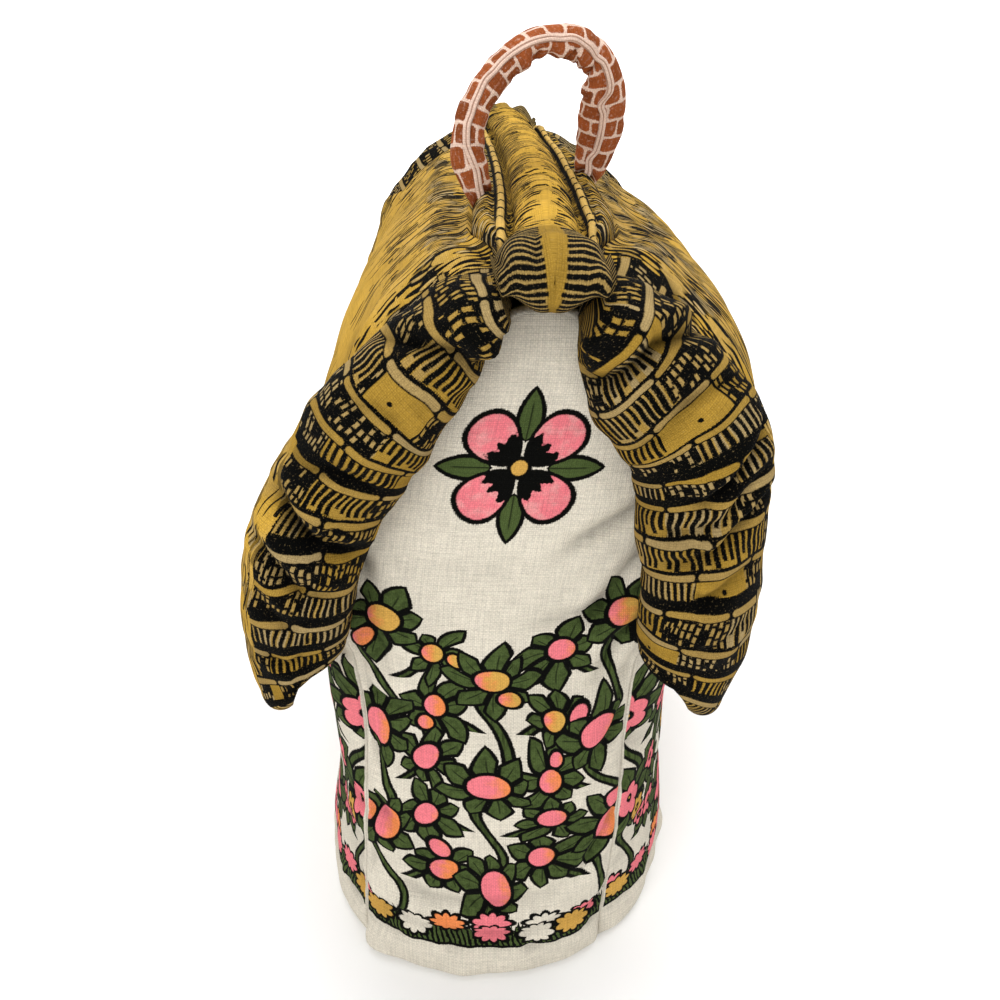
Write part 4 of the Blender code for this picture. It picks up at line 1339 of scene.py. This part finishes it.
def handle_loop(materials, roof, rings, sides):
    """The stuffed loop with puckers in its bend and the raised seam along it, standing on the roof."""
    view = bpy.context.evaluated_depsgraph_get()
    skins = [BVHTree.FromObject(piece, view) for piece in roof]
    path = through(LOOP, rings)
    count = len(path) - 1
    out, across = loop_frames(path)
    steps = np.linalg.norm(np.diff(path[:, :3], axis=0), axis=1)
    along = np.concatenate(((0,), np.cumsum(steps)))
    bm = bmesh.new()
    bmesh.ops.create_grid(bm, x_segments=count, y_segments=sides, size=1)
    angles = np.linspace(-math.pi, math.pi, sides + 1)
    radius = 0.5 * (path[:, 3] + np.minimum(path[:, 3], LOOP_THICK))
    a, wheel = np.meshgrid(along, angles, indexing="ij")
    start, full, ease, end = (share * along[-1] for share in LOOP_BEND)
    bend = smooth(along, start, full) * (1 - smooth(along, ease, end))
    inside = np.clip(np.sin(wheel), 0, 1)
    relief = 0.3 * mottle(a / 7, 1.5 * np.cos(wheel) + 3, 81)
    relief += 0.25 * mottle(a / 3.2, 1.2 * np.sin(wheel) + 3, 82)
    dents = np.clip(mottle(a / 3.8, np.sin(wheel) + 5, 83), 0, 1)
    relief -= (0.4 + 1.9 * bend[:, None] * inside) * dents
    relief -= 0.5 * puckers(a, np.abs(wheel) * radius[:, None] - SEAM_HALF, 3.6, 2.4, 84)
    for share, slant, deep, width in LOOP_FOLDS:
        off = a - share * along[-1] - slant * radius[:, None] * wheel
        relief -= deep * np.exp(-(off / width) ** 2) * np.exp(-((wheel - 1.2) / 0.9) ** 2)
    points = np.stack([loop_point(path, out, across, angle, relief[:, j:j + 1])
                       for j, angle in enumerate(angles)], axis=1)
    points[:, -1] = points[:, 0]
    spots = {}
    for vert in bm.verts:
        i, j = cell_of(vert, count, sides)
        spots[vert] = along[i] * MM, angles[j] * radius[i] * MM
        place = Vector(points[i, j])
        from_foot = min(i, count - i) / rings
        if from_foot < FOOT_ROWS:
            place = lifted(place, skins, FOOT_GAP + from_foot * FOOT_RISE, from_foot == 0)
        vert.co = place * MM
    print_at(bm, bm.faces, spots)
    bmesh.ops.remove_doubles(bm, verts=bm.verts, dist=0.000002)
    bmesh.ops.holes_fill(bm, edges=[edge for edge in bm.edges if edge.is_boundary], sides=0)
    add_seam(bm, path, out, across, along)
    return finish(bm, "cloth_loop", materials, ["handle_loop"])


def add_seam(bm, path, out, across, along):
    """The raised seam on the loop: a narrow crowned strip that wanders a little."""
    rows = len(path) - 1
    strip = bmesh.ops.create_grid(bm, x_segments=rows, y_segments=SEAM_CELLS, size=1)["verts"]
    inner = set(thicken(bm, list({face for vert in strip for face in vert.link_faces})))
    level = np.zeros_like(along)
    wander = 0.22 * mottle(along / 11, level, 91) + 0.13 * mottle(along / 4.5, level, 92)
    waves = 0.4 * mottle(along / 3.2, level, 93)
    spots = {}
    for vert in set(strip) | inner:
        i, j = cell_of(vert, rows, SEAM_CELLS)
        share = 2 * j / SEAM_CELLS - 1
        turn = wander[i] + share * SEAM_HALF / path[i, 3]
        crown = (1 - share ** 2) ** 0.5 * (1 - 0.45 * math.exp(-(share / 0.22) ** 2))
        rise = -0.8 if vert in inner else (1.1 + waves[i]) * crown - 0.1
        row = slice(i, i + 1)
        place = loop_point(path[row], out[row], across[row], turn, rise)[0]
        spots[vert] = along[i] * MM, share * SEAM_HALF * MM
        vert.co = Vector(place) * MM
    faces = {face for vert in spots for face in vert.link_faces}
    for face in faces:
        face.material_index = 1
    print_at(bm, faces, spots)
    bmesh.ops.recalc_face_normals(bm, faces=bm.faces)


# ---------------------------------------------------------------- stage

# Lights: name, place, aim, size in metres, power in watts
LIGHTS = (
    ("key", (-0.5, -1.4, 0.9), (0, 0, 0.18), 1, 12.5),
    ("fill", (1.1, -0.9, 0.7), (0, 0, 0.15), 1.2, 2),
    ("top", (0.1, 0.4, 1.7), (0, 0, 0.2), 1.6, 30),
    ("back", (0, 1.6, 1.6), (0, 3.6, 0.4), 2, 60),
)


def floor():
    """A pale floor that sweeps up into a backdrop."""
    bm = bmesh.new()
    bmesh.ops.create_grid(bm, x_segments=1, y_segments=1, size=4)
    back = [edge for edge in bm.edges if all(vert.co.y > 3.9 for vert in edge.verts)]
    wall = bmesh.ops.extrude_edge_only(bm, edges=back)["geom"]
    wall = [item for item in wall if isinstance(item, bmesh.types.BMVert)]
    bmesh.ops.translate(bm, verts=wall, vec=(0, 0, 4))
    bmesh.ops.bevel(bm, geom=back, offset=1.5, offset_type="OFFSET", segments=16, profile=0.5,
                    affect="EDGES", material=-1)
    material = bpy.data.materials.new("floor")
    material.use_nodes = True
    shader = material.node_tree.nodes["Principled BSDF"]
    shader.inputs["Base Color"].default_value = (0.96, 0.96, 0.955, 1)
    shader.inputs["Roughness"].default_value = 0.9
    made_object(bm, "floor", [material])


def camera():
    """The camera, low and close in front of the near gable."""
    data = bpy.data.cameras.new("camera")
    data.sensor_width = 36
    data.lens = 37.78
    pitch, yaw, roll = 0.470, 0.003, 0.013
    ahead = Vector((math.sin(yaw) * math.cos(pitch), math.cos(yaw) * math.cos(pitch), -math.sin(pitch)))
    right = Vector((math.cos(yaw), -math.sin(yaw), 0))
    up = right.cross(ahead)
    turned_right = math.cos(roll) * right + math.sin(roll) * up
    turned_up = -math.sin(roll) * right + math.cos(roll) * up
    view = Matrix((turned_right, turned_up, -ahead)).transposed().to_4x4()
    view.translation = Vector((-6.07, -388.2, 320.9)) * MM
    eye = bpy.data.objects.new("camera", data)
    eye.matrix_world = view
    bpy.context.collection.objects.link(eye)
    bpy.context.scene.camera = eye


# ---------------------------------------------------------------- what a user can change

class CosyColours(bpy.types.PropertyGroup):
    """Colours of the cloths and their prints."""


class CosySizes(bpy.types.PropertyGroup):
    """Sizes of the weave and the prints."""


COLOURS = (
    ("linen", "Linen", "Ground of the walls", (0.645, 0.595, 0.495)),
    ("thatch", "Thatch", "Ground of the roof", (0.53, 0.315, 0.046)),
    ("straw", "Straw", "Pale cords and flecks on the roof", (0.51, 0.37, 0.165)),
    ("ink", "Ink", "Lines of the prints", (0.0028, 0.0029, 0.0024)),
    ("leaf", "Leaf", "Leaves and stems", (0.06, 0.088, 0.026)),
    ("pink", "Pink", "Blossoms and ripe fruit", (0.74, 0.18, 0.21)),
    ("orange", "Orange", "Ripe fruit", (0.72, 0.22, 0.07)),
    ("ochre", "Ochre", "Small fruit and blossoms", (0.56, 0.32, 0.07)),
    ("brick", "Brick", "Bricks of the loop", (0.34, 0.088, 0.026)),
    ("mortar", "Mortar", "Mortar and seam of the loop", (0.71, 0.52, 0.42)),
)
CosyColours.__annotations__ = {
    key: FloatVectorProperty(name=label, description=about, default=value, subtype="COLOR",
                             size=3, min=0, max=1)
    for key, label, about, value in COLOURS
}

SIZES = (
    ("thread", "Thread pitch", "Distance between threads of the weave, in millimetres", 0.62),
    ("ink_line", "Ink line", "Half the width of an outline, in millimetres", 0.65),
    ("sprig_width", "Repeat width", "Distance between columns of sprigs, in millimetres", 38),
    ("sprig_height", "Repeat height", "Distance between sprigs in a column, in millimetres", 41),
    ("sprig_top", "Highest sprig", "Height of the highest sprig, in millimetres", 150),
    ("bloom", "Bloom height", "Height of the bloom on a gable, in millimetres", 197),
    ("course", "Thatch course", "Height of a course of straw, in millimetres", 13),
)
CosySizes.__annotations__ = {
    key: FloatProperty(name=label, description=about, default=value, min=0.1)
    for key, label, about, value in SIZES
}


class WallsOperator(bpy.types.Operator):
    """Make the two gable walls and the two side walls"""
    bl_idname = "cosy.walls"
    bl_label = "Walls"

    def execute(self, context):
        colours, sizes = context.scene.cosy_colours, context.scene.cosy_sizes
        cloth = wall_print("gable_cloth", colours, sizes, GABLE_PRINT_HALF, sizes.bloom)
        for end, word in ((-1, "near"), (1, "far")):
            padded_panel("cloth_gable_" + word, *GABLE_GRID, partial(gable_skin, end),
                         partial(gable_relief, end), cloth, ["gable_" + word], "wall_cloth")
        cloth = wall_print("side_cloth", colours, sizes, SIDE_PRINT_HALF, 0)
        for side, word in ((-1, "left"), (1, "right")):
            padded_panel("cloth_side_" + word, *SIDE_GRID, partial(side_skin, side),
                         partial(side_relief, side), cloth, ["side_" + word], "wall_cloth")
        return {"FINISHED"}


class RoofOperator(bpy.types.Operator):
    """Make the two roof slopes with their verge rolls"""
    bl_idname = "cosy.roof"
    bl_label = "Roof slopes"

    def execute(self, context):
        colours, sizes = context.scene.cosy_colours, context.scene.cosy_sizes
        for side, word, seed, close in ((-1, "left", 1, 0), (1, "right", 2, 0.4)):
            cloth = thatch_print("slope_cloth_" + word, colours, sizes, seed, close)
            padded_panel("cloth_roof_" + word, *ROOF_GRID, partial(slope_skin, side),
                         partial(slope_relief, side), cloth, ["roof_" + word], "thatch_cloth")
        return {"FINISHED"}


class RidgeOperator(bpy.types.Operator):
    """Make the cap along the ridge"""
    bl_idname = "cosy.ridge"
    bl_label = "Ridge cap"

    def execute(self, context):
        colours, sizes = context.scene.cosy_colours, context.scene.cosy_sizes
        cloth = thatch_print("ridge_cloth", colours, sizes, 0, 0)
        padded_panel("cloth_ridge_cap", *CAP_GRID, cap_skin, cap_relief, cloth, ["ridge_cap"],
                     "thatch_cloth")
        return {"FINISHED"}


class LoopOperator(bpy.types.Operator):
    """Make the loop that lifts the cosy"""
    bl_idname = "cosy.loop"
    bl_label = "Loop"

    def execute(self, context):
        colours, sizes = context.scene.cosy_colours, context.scene.cosy_sizes
        materials = [brick_print("brick_cloth", colours, sizes),
                     seam_cloth("seam_cloth", colours, sizes)]
        roof = [bpy.data.objects["cloth_" + name] for name in ("ridge_cap", "roof_left", "roof_right")]
        handle_loop(materials, roof, *LOOP_GRID)
        return {"FINISHED"}


class StageOperator(bpy.types.Operator):
    """Make the floor, the lights and the camera"""
    bl_idname = "cosy.stage"
    bl_label = "Stage"

    def execute(self, context):
        floor()
        for name, place, aim, size, power in LIGHTS:
            light = bpy.data.lights.new(name, "AREA")
            light.shape, light.size, light.energy = "SQUARE", size, power
            lamp = bpy.data.objects.new(name, light)
            lamp.location = place
            lamp.rotation_euler = (Vector(aim) - Vector(place)).to_track_quat("-Z", "Y").to_euler()
            context.collection.objects.link(lamp)
        world = bpy.data.worlds.new("studio")
        world.use_nodes = True
        world.node_tree.nodes["Background"].inputs["Color"].default_value = (1, 1, 1, 1)
        world.node_tree.nodes["Background"].inputs["Strength"].default_value = 0.6
        context.scene.world = world
        context.scene.view_settings.view_transform = "Standard"
        camera()
        return {"FINISHED"}


OPERATORS = (WallsOperator, RoofOperator, RidgeOperator, LoopOperator, StageOperator)


class CosyPanel(bpy.types.Panel):
    """Buttons, sizes and colours of the cosy"""
    bl_idname = "VIEW3D_PT_cosy"
    bl_label = "Tea cosy"
    bl_space_type = "VIEW_3D"
    bl_region_type = "UI"
    bl_category = "Cosy"

    def draw(self, context):
        for operator in OPERATORS:
            self.layout.operator(operator.bl_idname)
        for key, *_ in SIZES:
            self.layout.prop(context.scene.cosy_sizes, key)
        for key, *_ in COLOURS:
            self.layout.prop(context.scene.cosy_colours, key)


CLASSES = (CosyColours, CosySizes, *OPERATORS, CosyPanel)


def register():
    for part in CLASSES:
        bpy.utils.register_class(part)
    bpy.types.Scene.cosy_colours = PointerProperty(type=CosyColours)
    bpy.types.Scene.cosy_sizes = PointerProperty(type=CosySizes)


def unregister():
    del bpy.types.Scene.cosy_sizes
    del bpy.types.Scene.cosy_colours
    for part in reversed(CLASSES):
        bpy.utils.unregister_class(part)


def main():
    register()
    bpy.ops.cosy.walls()
    bpy.ops.cosy.roof()
    bpy.ops.cosy.ridge()
    bpy.ops.cosy.loop()
    bpy.ops.cosy.stage()


if __name__ == "__main__":
    main()
